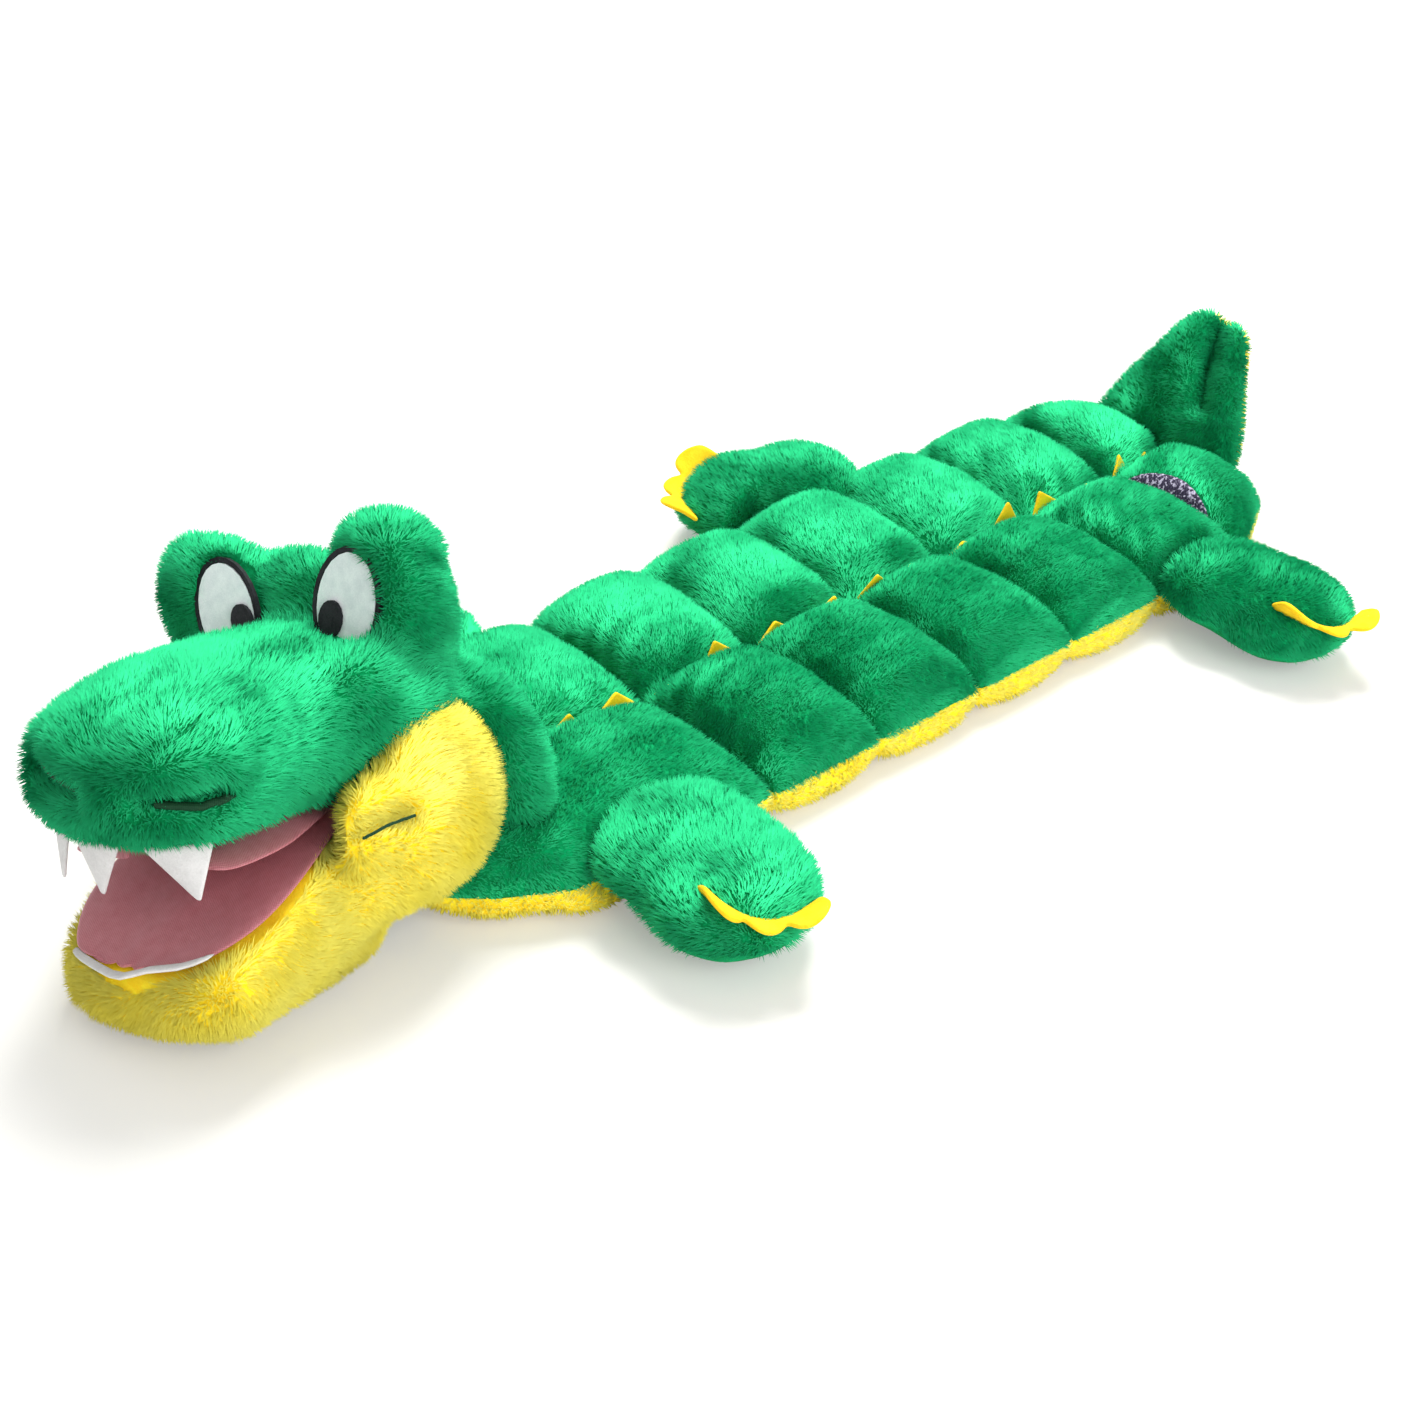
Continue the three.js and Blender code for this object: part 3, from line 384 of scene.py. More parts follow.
def form_copy(name):
    """A new object with a merged copy of a CAD node's form."""
    mesh = nodes[name].data.copy()
    mesh.materials.clear()
    copy = bpy.data.objects.new(name + "_form", mesh)
    bpy.context.scene.collection.objects.link(copy)
    pick_only(copy)
    bpy.ops.object.mode_set(mode="EDIT")
    bpy.ops.mesh.select_all(action="SELECT")
    bpy.ops.mesh.remove_doubles(threshold=1e-6)
    bpy.ops.object.mode_set(mode="OBJECT")
    return copy


def filling(place, centre, half):
    """An oval of stuffing, given in a limb's own millimetres."""
    bpy.ops.object.select_all(action="DESELECT")
    bpy.ops.mesh.primitive_uv_sphere_add(segments=24, ring_count=14, radius=1.0)
    form = bpy.context.object
    form.data.transform(place @ Matrix.Translation(centre) @ Matrix.Diagonal((*half, 1.0)))
    return form


def settle(form, kind, **values):
    """Puts one modifier on the form and applies it."""
    pick_only(form)
    modifier = form.modifiers.new(kind.lower(), kind)
    for label, value in values.items():
        setattr(modifier, label, value)
    bpy.ops.object.modifier_apply(modifier=modifier.name)


def vectors_of(mesh, kind):
    """A row per vertex: its place for "co", its normal for "normal"."""
    flat = np.empty(len(mesh.vertices) * 3, np.float32)
    mesh.vertices.foreach_get(kind, flat)
    return flat.reshape(-1, 3).astype(float)


def move_points(mesh, spots):
    mesh.vertices.foreach_set("co", spots.astype(np.float32).ravel())
    mesh.update()


def unit(vectors):
    """The same directions at a length of one."""
    return vectors / np.maximum(np.linalg.norm(vectors, axis=-1, keepdims=True), 1e-9)


def distance_to(points, line):
    """How far each point lies from the nearest point of a line."""
    far = np.full(len(points), 1e9)
    for spot in line:
        far = np.minimum(far, np.linalg.norm(points - np.array(spot), axis=1))
    return far


def lay_on_floor(skin):
    spots = vectors_of(skin.data, "co")
    spots[:, 2] = np.maximum(spots[:, 2], 2 * floor_gap * mm)
    move_points(skin.data, spots)


def skin_of(name, forms, voxel, inset, smooths):
    """One closed skin around all forms, drawn in by a share of the pile's length."""
    pick_only(*forms)
    if len(forms) > 1:
        bpy.ops.object.join()
    skin = bpy.context.view_layer.objects.active
    skin.name = name
    skin.data.name = name
    settle(skin, "REMESH", mode="VOXEL", voxel_size=voxel * mm)
    settle(skin, "SMOOTH", factor=0.5, iterations=smooths)
    if inset:
        settle(skin, "DISPLACE", strength=-inset * mm, mid_level=0.0, direction="NORMAL")
        settle(skin, "SMOOTH", factor=0.5, iterations=3)
    lay_on_floor(skin)
    return skin


def free(skin):
    """No point of the skin is held while it swells."""
    return np.zeros(len(skin.data.vertices), bool)


cloth_steps = 20
plush_cloth = {
    "quality": 4,
    "mass": 0.2,
    "tension_stiffness": 10,
    "compression_stiffness": 8,
    "bending_stiffness": 0.4,
    "use_pressure": True,
    "uniform_pressure_force": 4.0,
    "vertex_group_mass": "held",
}


def swell(jobs):
    """Blows the skins up as cloth, all together, and keeps each point near its start."""
    for skin, held, most in jobs:
        group = skin.vertex_groups.new(name="held")
        group.add([int(i) for i in np.nonzero(held)[0]], 1.0, "REPLACE")
        cloth = skin.modifiers.new("cloth", "CLOTH")
        for label, value in plush_cloth.items():
            setattr(cloth.settings, label, value)
        cloth.settings.effector_weights.gravity = 0.0
        cloth.collision_settings.use_collision = False
        cloth.point_cache.frame_start = 1
        cloth.point_cache.frame_end = cloth_steps
    for step in range(1, cloth_steps + 1):
        bpy.context.scene.frame_set(step)
    graph = bpy.context.evaluated_depsgraph_get()
    for skin, held, most in jobs:
        start = vectors_of(skin.data, "co")
        moved = vectors_of(skin.evaluated_get(graph).data, "co") - start
        size = np.linalg.norm(moved, axis=1, keepdims=True)
        kept = moved * np.minimum(1.0, most * mm / np.maximum(size, 1e-9))
        move_points(skin.data, start + kept)
        skin.modifiers.clear()
        skin.vertex_groups.clear()
        lay_on_floor(skin)
    bpy.context.scene.frame_set(1)


def halves(skin, point, normal, first_name, second_name):
    """Cuts a skin in two closed halves: the first is on the side that normal points to."""
    made = []
    for name, outer in ((first_name, False), (second_name, True)):
        half = skin.copy()
        half.data = skin.data.copy()
        half.name = name
        half.data.name = name
        bpy.context.scene.collection.objects.link(half)
        pick_only(half)
        bpy.ops.object.mode_set(mode="EDIT")
        bpy.ops.mesh.select_all(action="SELECT")
        bpy.ops.mesh.bisect(
            plane_co=point, plane_no=normal, use_fill=True, clear_inner=not outer, clear_outer=outer
        )
        bpy.ops.object.mode_set(mode="OBJECT")
        made.append(half)
    bpy.data.objects.remove(skin)
    return made


def along(line, steps=12):
    """Points at even steps of each stretch of a line."""
    line = [Vector(point) for point in line]
    found = [line[0]]
    for first, last in zip(line, line[1:]):
        found += [first.lerp(last, (step + 1) / steps) for step in range(steps)]
    return found


def on_skin(skin, place, line):
    """The nearest points of a skin to a line given in a limb's own millimetres."""
    return [skin.closest_point_on_mesh(place @ point)[1] for point in along(line)]


def dent(skin, points, radius, depth):
    """Presses the skin in along a line, as a stitch or a fold does."""
    spots = vectors_of(skin.data, "co")
    share = np.exp(-((distance_to(spots, points) / (radius * mm)) ** 2))[:, None]
    move_points(skin.data, spots - share * depth * mm * vectors_of(skin.data, "normal"))


weld_distance = 2e-5


def cloth_sheet(name, rows, place, thickness, rounds=1):
    """A sheet of cloth through rows of points, given in a limb's own millimetres."""
    rows = np.array(rows, float)
    bpy.ops.object.select_all(action="DESELECT")
    bpy.ops.mesh.primitive_grid_add(
        x_subdivisions=rows.shape[1] - 1, y_subdivisions=rows.shape[0] - 1, size=1.0
    )
    sheet = bpy.context.object
    sheet.name = name
    sheet.data.name = name
    for vertex, spot in zip(sheet.data.vertices, rows.reshape(-1, 3)):
        vertex.co = place @ Vector(spot)
    settle(sheet, "SOLIDIFY", thickness=thickness * mm, offset=0.0)
    bpy.ops.object.mode_set(mode="EDIT")
    bpy.ops.mesh.select_all(action="SELECT")
    bpy.ops.mesh.remove_doubles(threshold=weld_distance)
    bpy.ops.mesh.normals_make_consistent(inside=False)
    bpy.ops.object.mode_set(mode="OBJECT")
    settle(sheet, "SUBSURF", levels=rounds, render_levels=rounds)
    return sheet


def pointed(root, end, tip, bulge):
    """Rows of a felt point, from its root edge to its blunt tip, bulging a little."""
    columns, steps, blunt = 5, 6, 0.03
    root, end, tip, bulge = (np.array(one, float) for one in (root, end, tip, bulge))
    rows = []
    for step in range(steps + 1):
        share = step / steps
        left = root + (tip - root) * share
        right = end + (tip - end) * share
        if step == steps:
            left, right = tip + (root - tip) * blunt, tip + (end - tip) * blunt
        across = [column / (columns - 1) for column in range(columns)]
        rows.append([left + (right - left) * u + bulge * sin(pi * u) * (1 - share) for u in across])
    return rows


def joined(name, parts):
    """One object made of several parts."""
    pick_only(*parts)
    bpy.ops.object.join()
    whole = bpy.context.view_layer.objects.active
    whole.name = name
    whole.data.name = name
    return whole


def stitch(name, points, thickness):
    """A thread that lies through these points, as a closed tube."""
    bpy.ops.object.select_all(action="DESELECT")
    data = bpy.data.curves.new(name, "CURVE")
    data.dimensions = "3D"
    spline = data.splines.new("POLY")
    spline.points.add(len(points) - 1)
    for spot, point in zip(spline.points, points):
        spot.co = (*point, 1.0)
    data.bevel_depth = thickness / 2 * mm
    data.bevel_resolution = 2
    data.use_fill_caps = True
    thread = bpy.data.objects.new(name, data)
    bpy.context.scene.collection.objects.link(thread)
    pick_only(thread)
    bpy.ops.object.convert(target="MESH")
    return bpy.context.object


def dress(piece, material, body, replaced=()):
    piece.data.materials.clear()
    piece.data.materials.append(material)
    for polygon in piece.data.polygons:
        polygon.use_smooth = True
    if body:
        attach(piece, body)
    if replaced:
        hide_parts(*replaced)


# Pile. Painted sheen and shade: the pile is painted brightest where it is brushed this way, away from
# the viewer, and darker where it is brushed the other way
painted_sheen_way = (-0.72, 0.6, 0.36)
tuft_lean, tuft_jitter, tuft_rooted = 0.75, 0.2, 0.4
shortest_tuft, tuft_spread = 0.8, 0.4
swirl_size, swirl_share = 30.0, 0.5
curl_size, curl_share = 10.0, 0.2
clump_count, clump_pull, clump_spread = 14, 0.25, 0.12
round_share, nap_share, tip_share = 0.12, 0.5, 0.15


def waves(points, size, seed):
    """A smooth vector field over the cloth, which turns over about this length."""
    random = np.random.default_rng(seed)
    total = np.zeros_like(points)
    for step in range(5):
        way = random.normal(size=3)
        way *= 2 * pi / (size * mm * random.uniform(0.7, 1.5) * np.linalg.norm(way))
        lift = random.normal(size=3)
        total += np.sin(points @ way + random.uniform(0, 2 * pi))[:, None] * lift / 2.2
    return total


def lay_pile(name, skin, material, length, per_mm2, lie, seed, keep=None, width=0.34, lift=None):
    """Small closed tufts over a skin.

    lie gives the way that the pile is brushed, which also paints its sheen and shade, keep says where
    it grows, and lift where painted light and shade are added to that.
    """
    mesh = skin.data
    mesh.calc_loop_triangles()
    points = vectors_of(mesh, "co")
    ups = vectors_of(mesh, "normal")
    corners = np.empty(len(mesh.loop_triangles) * 3, np.int32)
    mesh.loop_triangles.foreach_get("vertices", corners)
    corners = corners.reshape(-1, 3)
    a, b, c = (points[corners[:, i]] for i in range(3))
    areas = np.linalg.norm(np.cross(b - a, c - a), axis=1) / 2
    random = np.random.default_rng(seed)
    count = int(areas.sum() / mm / mm * per_mm2)
    chosen = random.choice(len(areas), count, p=areas / areas.sum())
    u, v = random.random(count), random.random(count)
    over = u + v > 1
    u[over], v[over] = 1 - u[over], 1 - v[over]
    base = a[chosen] + u[:, None] * (b - a)[chosen] + v[:, None] * (c - a)[chosen]
    n0, n1, n2 = (ups[corners[chosen, i]] for i in range(3))
    up = unit(n0 + u[:, None] * (n1 - n0) + v[:, None] * (n2 - n0))
    if keep is not None:
        stays = keep(base, up)
        base, up = base[stays], up[stays]
        count = len(base)
    lay = lie(base) + swirl_share * waves(base, swirl_size, seed + 1)
    lay += curl_share * waves(base, curl_size, seed + 2)
    lay -= (lay * up).sum(1, keepdims=True) * up
    way = unit(up + tuft_lean * lay + random.normal(size=(count, 3)) * tuft_jitter)
    long = length * mm * (shortest_tuft + tuft_spread * random.random(count))
    tip = base + way * long[:, None]
    leaders = max(1, count // clump_count)
    tree = kdtree.KDTree(leaders)
    for i in range(leaders):
        tree.insert(base[i], i)
    tree.balance()
    own = np.array([tree.find(spot)[1] for spot in base])
    pull = clump_pull * random.random(count)[:, None]
    tip += pull * (tip[own] + clump_spread * (base - base[own]) - tip)
    side = unit(np.cross(way, random.normal(size=(count, 3))))
    other = unit(np.cross(up, side))
    root = base - up * tuft_rooted * mm
    spots = np.empty((count, 4, 3))
    turned = np.empty((count, 4, 3))
    for i in range(3):
        angle = 2 * pi * i / 3
        out = cos(angle) * side + sin(angle) * other
        spots[:, i] = root + out * width * mm
        turned[:, i] = up + round_share * out
    spots[:, 3] = tip
    spots[:, :, 2] = np.maximum(spots[:, :, 2], floor_gap * mm)
    turned += nap_share * lay[:, None]
    turned[:, 3] = up + tip_share * way + nap_share * lay
    turned = unit(turned)
    first = (np.arange(count) * 4)[:, None]
    sides = np.array([0, 1, 3, 1, 2, 3, 2, 0, 3, 0, 2, 1])
    loops = (first + sides).ravel()
    made = bpy.data.meshes.new(name)
    made.vertices.add(count * 4)
    made.vertices.foreach_set("co", spots.astype(np.float32).ravel())
    made.loops.add(count * 12)
    made.loops.foreach_set("vertex_index", loops.astype(np.int32))
    made.polygons.add(count * 4)
    made.polygons.foreach_set("loop_start", np.arange(0, count * 12, 3, dtype=np.int32))
    height = made.attributes.new("pile_height", "FLOAT", "POINT")
    height.data.foreach_set("value", np.tile([0.0, 0.0, 0.0, 1.0], count).astype(np.float32))
    # Painted sheen and shade from the way each tuft is brushed, with the painted light and shade of
    # lift added
    sheen_share = 0.5 + 0.5 * lay @ np.array(painted_sheen_way)
    if lift is not None:
        sheen_share += lift(base, up)
    sheen_layer = made.attributes.new("pile_brushing", "FLOAT", "POINT")
    sheen_layer.data.foreach_set("value", np.repeat(sheen_share, 4).astype(np.float32))
    across = int(np.ceil(np.sqrt(count)))
    cell = np.stack([np.arange(count) % across, np.arange(count) // across], 1)
    within = np.array([[0.15, 0.1], [0.85, 0.1], [0.5, 0.1], [0.5, 0.9]])
    chart = (cell[:, None, :] + within[None]) / across
    chart_map = made.uv_layers.new(name="OFBake")
    corner_uv = chart.reshape(-1, 2)[loops]
    chart_map.data.foreach_set("uv", corner_uv.astype(np.float32).ravel())
    made.update()
    made.validate()
    made.polygons.foreach_set("use_smooth", np.ones(count * 4, bool))
    made.normals_split_custom_set_from_vertices(turned.reshape(-1, 3).astype(np.float32))
    made.materials.append(material)
    pile = bpy.data.objects.new(name, made)
    bpy.context.scene.collection.objects.link(pile)
    return pile


def toward(vector, strength=1.0):
    way = np.array(vector, float)
    way *= strength / np.linalg.norm(way)
    return lambda base: np.broadcast_to(way, base.shape).copy()


# Brushed this way, the far side of the mat takes lighter painted sheen and the near side darker
def outwards_of_mat(base):
    """The pile of the mat is brushed away from the middle seam and a little to the tail."""
    across = np.clip((base[:, 0] / mm - toy_shift.x) / 12.0, -1, 1)
    return np.stack([across * 0.9, np.full(len(base), 0.45), np.zeros(len(base))], 1)


# The mat: one stuffed pillow per row, with its green top and yellow underside
mat_voxel, skin_voxel, tail_voxel = 2.0, 2.8, 2.6
mat_rounds, skin_rounds = 3, 4
mat_swell, head_swell, limb_swell = 2.0, 1.0, 1.2
squeaker_cover = 1.15
flank_inset, flank_height, flank_half = 6.0, 7.0, (7.5, 28, 7.5)
seam_grip, floor_grip = 2.4, 0.8
swelling = []
row_skins = {}
for row in range(1, row_count + 1):
    forms = [form_copy(f"top_cover_{row}"), form_copy(f"belly_cover_{row}")]
    for hand in ("left", "right"):
        low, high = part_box(f"squeaker_{row}_{hand}")
        middle = (low + high) / 2
        half = (high - low) / 2
        over = (half.x * squeaker_cover, half.y * squeaker_cover, half.z)
        forms.append(filling(Matrix.Identity(4), middle, over))
    low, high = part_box(f"belly_cover_{row}")
    if row < row_count:
        for flank in (low.x + flank_inset * mm, high.x - flank_inset * mm):
            centre = (flank, (low.y + high.y) / 2, flank_height * mm)
            forms.append(filling(Matrix.Identity(4), centre, Vector(flank_half) * mm))
    skin = skin_of(f"row_{row}_skin", forms, mat_voxel, 0.0, mat_rounds)
    rises = vectors_of(skin.data, "co")[:, 2]
    held = np.abs(rises - seam_height * mm) < seam_grip * mm
    held |= rises < floor_grip * mm
    swelling.append((skin, held, mat_swell))
    row_skins[row] = skin

# The head, with stuffing that joins the eye mounds, the crown and the green edge behind the cheeks.
# A skin lies deeper than its form by this much, and the pile fills it up again
head_inset, jaw_inset, leg_inset, tail_inset = 2.4, 2.2, 2.4, 2.0
nostril_dent, corner_dent, chin_dent, crease_dent = (6.0, 10.0), (5.0, 4.0), (9.0, 4.0), (4.5, 8.0)
head_stuffing = (
    ((28, -73, 80), (19, 17, 33)),
    ((30, -72, 104), (24, 15, 30)),
    ((34, -74, 122), (22, 15, 16)),
    ((-36, -72, 80), (24, 17, 33)),
    ((-48, -77, 103), (24, 15, 27)),
    ((-7, -74, 99), (34, 14, 25)),
    ((38, -104, 84), (20, 20, 21)),
    ((8, -108, 82), (38, 28, 26)),
    ((45, -95, 81), (15, 24, 12)),
    ((-45, -95, 81), (15, 24, 12)),
    ((38, -62, 46), (33, 15, 38)),
    ((-38, -62, 46), (33, 15, 38)),
)
head_forms = [form_copy("head_plush")]
head_forms += [filling(head_frame, centre, half) for centre, half in head_stuffing]
head_skin = skin_of("head_skin", head_forms, skin_voxel, head_inset, skin_rounds)
nostrils = (
    ((-31, -180, 95), (-20, -186, 92), (-7, -186, 89)),
    ((22, -186, 86), (36, -182, 83), (49, -178, 84)),
)
nostril_lines = [on_skin(head_skin, head_frame, line) for line in nostrils]
for line in nostril_lines:
    dent(head_skin, line, *nostril_dent)
swelling.append((head_skin, free(head_skin), head_swell))

# Cheeks, throat and lower jaw are one yellow skin
jaw_stuffing = (
    ((43, -110, 33), (14, 30, 20)),
    ((48, -116, 52), (10, 25, 20)),
    ((51, -98, 48), (15, 31, 28)),
)
jaw_forms = [form_copy("cheek_left"), form_copy("cheek_right"), form_copy("lower_jaw")]
jaw_forms.append(filling(head_frame, (-6, -172, 19), (41, 26, 15.5)))
for (side, back, rise), half in jaw_stuffing:
    for hand in (-1, 1):
        jaw_forms.append(filling(head_frame, (hand * side, back, rise), half))
jaw_skin = skin_of("jaw_skin", jaw_forms, skin_voxel, jaw_inset, skin_rounds)
corner_line = ((52, -138, 55), (58, -130, 56), (62, -122, 56))
mouth_corners = [
    on_skin(jaw_skin, head_frame, [(hand * side, back, rise) for side, back, rise in corner_line])
    for hand in (1, -1)
]
for line in mouth_corners:
    dent(jaw_skin, line, *corner_dent)
under_jaw = on_skin(jaw_skin, head_frame, ((46, -168, 3), (50, -142, 4), (52, -118, 5)))
dent(jaw_skin, under_jaw, *chin_dent)
swelling.append((jaw_skin, free(jaw_skin), head_swell))

# Legs and tail
paw_flatness = 0.88
root_centre, root_half = (-5, -29, 23), (32, 31, 20)
leg_skins = {}
for name, (_, _, size) in leg_places.items():
    root = filling(leg_frames[name], [at * size for at in root_centre], [at * size for at in root_half])
    forms = [form_copy(f"{name}_paw"), root]
    skin = skin_of(f"{name}_skin", forms, skin_voxel, leg_inset, skin_rounds)
    skin.data.transform(Matrix.Diagonal((1.0, 1.0, paw_flatness, 1.0)))
    lay_on_floor(skin)
    swelling.append((skin, free(skin), limb_swell))
    leg_skins[name] = skin
tail_skin = skin_of("tail_skin", [form_copy("tail_plush")], tail_voxel, tail_inset, skin_rounds)
crease_line = ((2, -80, 0), (3, -68, -9), (9, -46, -12), (15, -30, -12))
dent(tail_skin, on_skin(tail_skin, tail_frame, crease_line), *crease_dent)
swelling.append((tail_skin, free(tail_skin), limb_swell))

swell(swelling)


def label_edge(side):
    """How far back the label's upper edge lies, which is curved, for a place across it."""
    share = np.clip((side - label_middle) / label_half, -1, 1)
    return label_front + label_depth * (1 - share**2)


def everywhere(base):
    return np.ones(len(base), bool)


def clear_of_label(base):
    spots = base / mm
    over = np.abs(spots[:, 0] - label_middle) < label_half
    return ~(over & (spots[:, 1] < label_edge(spots[:, 0])))


label_start = label_front - 0.4
label_sides = np.linspace(label_middle - label_half, label_middle + label_half, 13)
label_steps = 6
above_mat, inside_mat, label_proud, label_thickness = 60.0, 15.0, 0.9, 0.8
label_rows = []
for step in range(label_steps + 1):
    line = []
    for side in label_sides:
        back = label_start + (label_edge(side) - label_start) * step / label_steps
        start = Vector((side, back, above_mat)) * mm
        hit, spot, normal, _ = row_skins[row_count].ray_cast(start, Vector((0, 0, -1)))
        if not hit:
            edge = Vector((side, back, inside_mat)) * mm
            _, spot, normal, _ = row_skins[row_count].closest_point_on_mesh(edge)
        line.append(tuple((spot + normal * label_proud * mm) / mm))
    label_rows.append(line)
label = cloth_sheet("bare_label", label_rows, Matrix.Scale(mm, 4), label_thickness)
dress(label, woven_label, f"row_{row_count}", ["hip_label"])


def light_of_mat(base, up):
    """Painted light and shade: the sides of the pockets are painted lighter than their tops, and the
    tops darker.
    """
    return 0.7 * np.clip(0.7 - up[:, 2], 0, 1) - 0.2


cut_height, green_from, yellow_to = seam_height + 1.2, seam_height + 1.6, seam_height + 1.1
most_level = 0.85
for row, skin in row_skins.items():
    point = (0.0, 0.0, cut_height * mm)
    top, belly = halves(skin, point, (0, 0, 1), f"row_{row}_top", f"row_{row}_belly")
    body = f"row_{row}"
    dress(top, green_backing, body, [f"top_cover_{row}"])
    dress(belly, yellow_backing, body, [f"belly_cover_{row}"])
    clear = clear_of_label if row == row_count else everywhere
    dense = 1.7 if row == 1 else 2.3
    pile = lay_pile(
        f"row_{row}_top_pile", top, green_pile, length=2.7, per_mm2=dense, width=0.3,
        lie=outwards_of_mat, seed=100 + row, lift=light_of_mat,
        keep=lambda base, up: (base[:, 2] > green_from * mm) & clear(base),
    )
    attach(pile, body)
    pile = lay_pile(
        f"row_{row}_belly_pile", belly, yellow_pile, length=2.4, per_mm2=1.1, width=0.42,
        lie=toward((0.0, 0.2, 0.3)), seed=200 + row,
        keep=lambda base, up: (base[:, 2] < yellow_to * mm) & (np.abs(up[:, 2]) < most_level),
    )
    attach(pile, body)

back_of_head = head_axes @ Vector((0.0, 0.85, -0.35))
dress(head_skin, green_backing, "head", ["head_plush"])
head_up = np.array(head_axes.col[2])


fold_half = 2.2
head_parts = (("nose", 31, -300, -135), ("snout", 32, -135, -82), ("crown", 33, -82, 100))
jaw_parts = (("chin", 41, -300, -125), ("cheek", 42, -125, 100))


def clear_of_eyes(base):
    clear = np.ones(len(base), bool)
    for eye in eye_frames:
        spots = in_frame(eye, base)
        oval = (spots[:, 0] / eye_half_width) ** 2 + (spots[:, 2] / eye_half_height) ** 2
        clear &= (oval > 1.0) | (np.abs(spots[:, 1] + 1.0) > eye_reach)
    return clear


def on_head(base, up, low, high):
    """Pile grows between two places along the head, but not in its folds, under it or on its eyes."""
    back = in_frame(head_frame, base)[:, 1]
    facing = up @ head_up
    bare = (back < lip_back) & (facing < -0.8) | (back > lip_back) & (facing < -0.6)
    for line in nostril_lines:
        bare |= distance_to(base, line) < fold_half * mm
    return ~bare & clear_of_eyes(base) & (back >= low) & (back < high)


def light_of_head(base, up):
    """Painted light and shade: the top of the snout is painted lighter where it faces up, and the mound
    next to the viewer darker where it faces the viewer.
    """
    dark = -0.3 * np.clip(up[:, 0], 0, 1)
    bright = 0.25 * np.clip(2 * up[:, 2] - 1, 0, 1)
    return np.where(in_frame(head_frame, base)[:, 1] > crown_back, dark, bright)


for part, seed, low, high in head_parts:
    pile = lay_pile(
        f"head_{part}_pile", head_skin, green_pile, length=3.9, per_mm2=1.95, width=0.33,
        lie=toward(back_of_head), seed=seed, lift=light_of_head,
        keep=lambda base, up: on_head(base, up, low, high),
    )
    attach(pile, "head")

dress(jaw_skin, yellow_backing, None, ["cheek_left", "cheek_right", "lower_jaw"])


def outside_mouth(base, up, low, high):
    """Pile grows between two places along the jaw, but not beneath the tongue."""
    side, back, rise = in_frame(head_frame, base).T
    half = np.interp(back, floor_backs, floor_halves)
    tongue = (rise > 26) & (up @ head_up > 0.3) & (np.abs(side) < half - 1.0)
    return ~tongue & (back >= low) & (back < high)


yellow_pieces = [jaw_skin]
for part, seed, low, high in jaw_parts:
    pile = lay_pile(
        f"{part}_pile", jaw_skin, yellow_pile, length=4.2, per_mm2=1.9, width=0.35,
        lie=toward(back_of_head), seed=seed,
        keep=lambda base, up: outside_mouth(base, up, low, high),
    )
    yellow_pieces.append(pile)
for piece in yellow_pieces:
    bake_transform(piece)


def seen_from_side(base, up):
    """Pile grows where the skin doesn't face the floor."""
    return up[:, 2] > -0.35


for name, skin in leg_skins.items():
    body = f"{name}_leg"
    dress(skin, green_backing, body, [f"{name}_paw"])
    lie = Vector((0.0, 0.8, 0.2)) if name == "front_left" else Vector((0.0, -0.8, 0.1))
    outwards = leg_frames[name].to_3x3().normalized() @ lie
    seed = 50 + sorted(leg_places).index(name)
    pile = lay_pile(
        f"{name}_pile", skin, green_pile, length=3.6, per_mm2=1.85,
        lie=toward(outwards), seed=seed, keep=seen_from_side,
    )
    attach(pile, body)

tail_ways = tail_frame.to_3x3().normalized()
rear = tail_ways @ Vector((0, 0, 1))
if rear.y < 0:
    rear = -rear
middle = sum(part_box("tail_plush"), Vector()) / 2
cut = middle + rear * 3 * mm
tail_rear, tail_front = halves(tail_skin, cut, rear, "tail_rear", "tail_front")
for piece, backing, material, slot, seed in (
    (tail_rear, yellow_backing, yellow_pile, "yellow_plush", 61),
    (tail_front, green_backing, green_pile, "green_plush", 62),
):
    dress(piece, backing, "tail", ["tail_plush"])
    # Brushed downwards, the tail's pile takes darker painted sheen
    downwards = toward(tail_ways @ Vector((0.0, 1.0, 0.0)), 0.5)
    pile = lay_pile(
        piece.name + "_pile", piece, material, length=3.5, per_mm2=1.8, lie=downwards, seed=seed
    )
    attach(pile, "tail")

# Teeth of white felt
teeth = (
    ((-38, -171, 71), (-25, -177, 71), (-30, -181, 55)),
    ((-23, -178, 71), (2, -181, 71), (-11, -183, 52.5)),
    ((9, -181, 71), (33, -172, 71), (28, -180, 53.5)),
)
felt_thickness, satin_thickness, point_thickness, claw_thickness = 1.3, 1.4, 1.4, 2.0
points = [
    cloth_sheet("tooth", pointed(root, end, tip, (0, -2.0, 0)), head_frame, felt_thickness)
    for root, end, tip in teeth
]
upper_teeth = joined("upper_teeth_felt", points)
dress(upper_teeth, white_felt, "head", ["upper_teeth"])


def floor_rise(back):
    """How high the floor of the mouth lies, for a place along it."""
    return np.interp(back, (-195, -146, -108.5), (32.5, 47, 49))


def roof_rise(back):
    """How high the roof of the mouth lies, for a place along it."""
    return np.interp(back, (-195, -146, -108.5), (68, 62, 58))


tongue_front, palate_front, wavy_from = -190.5, -173, -185
lining_columns, wider_tip = 17, 3.0


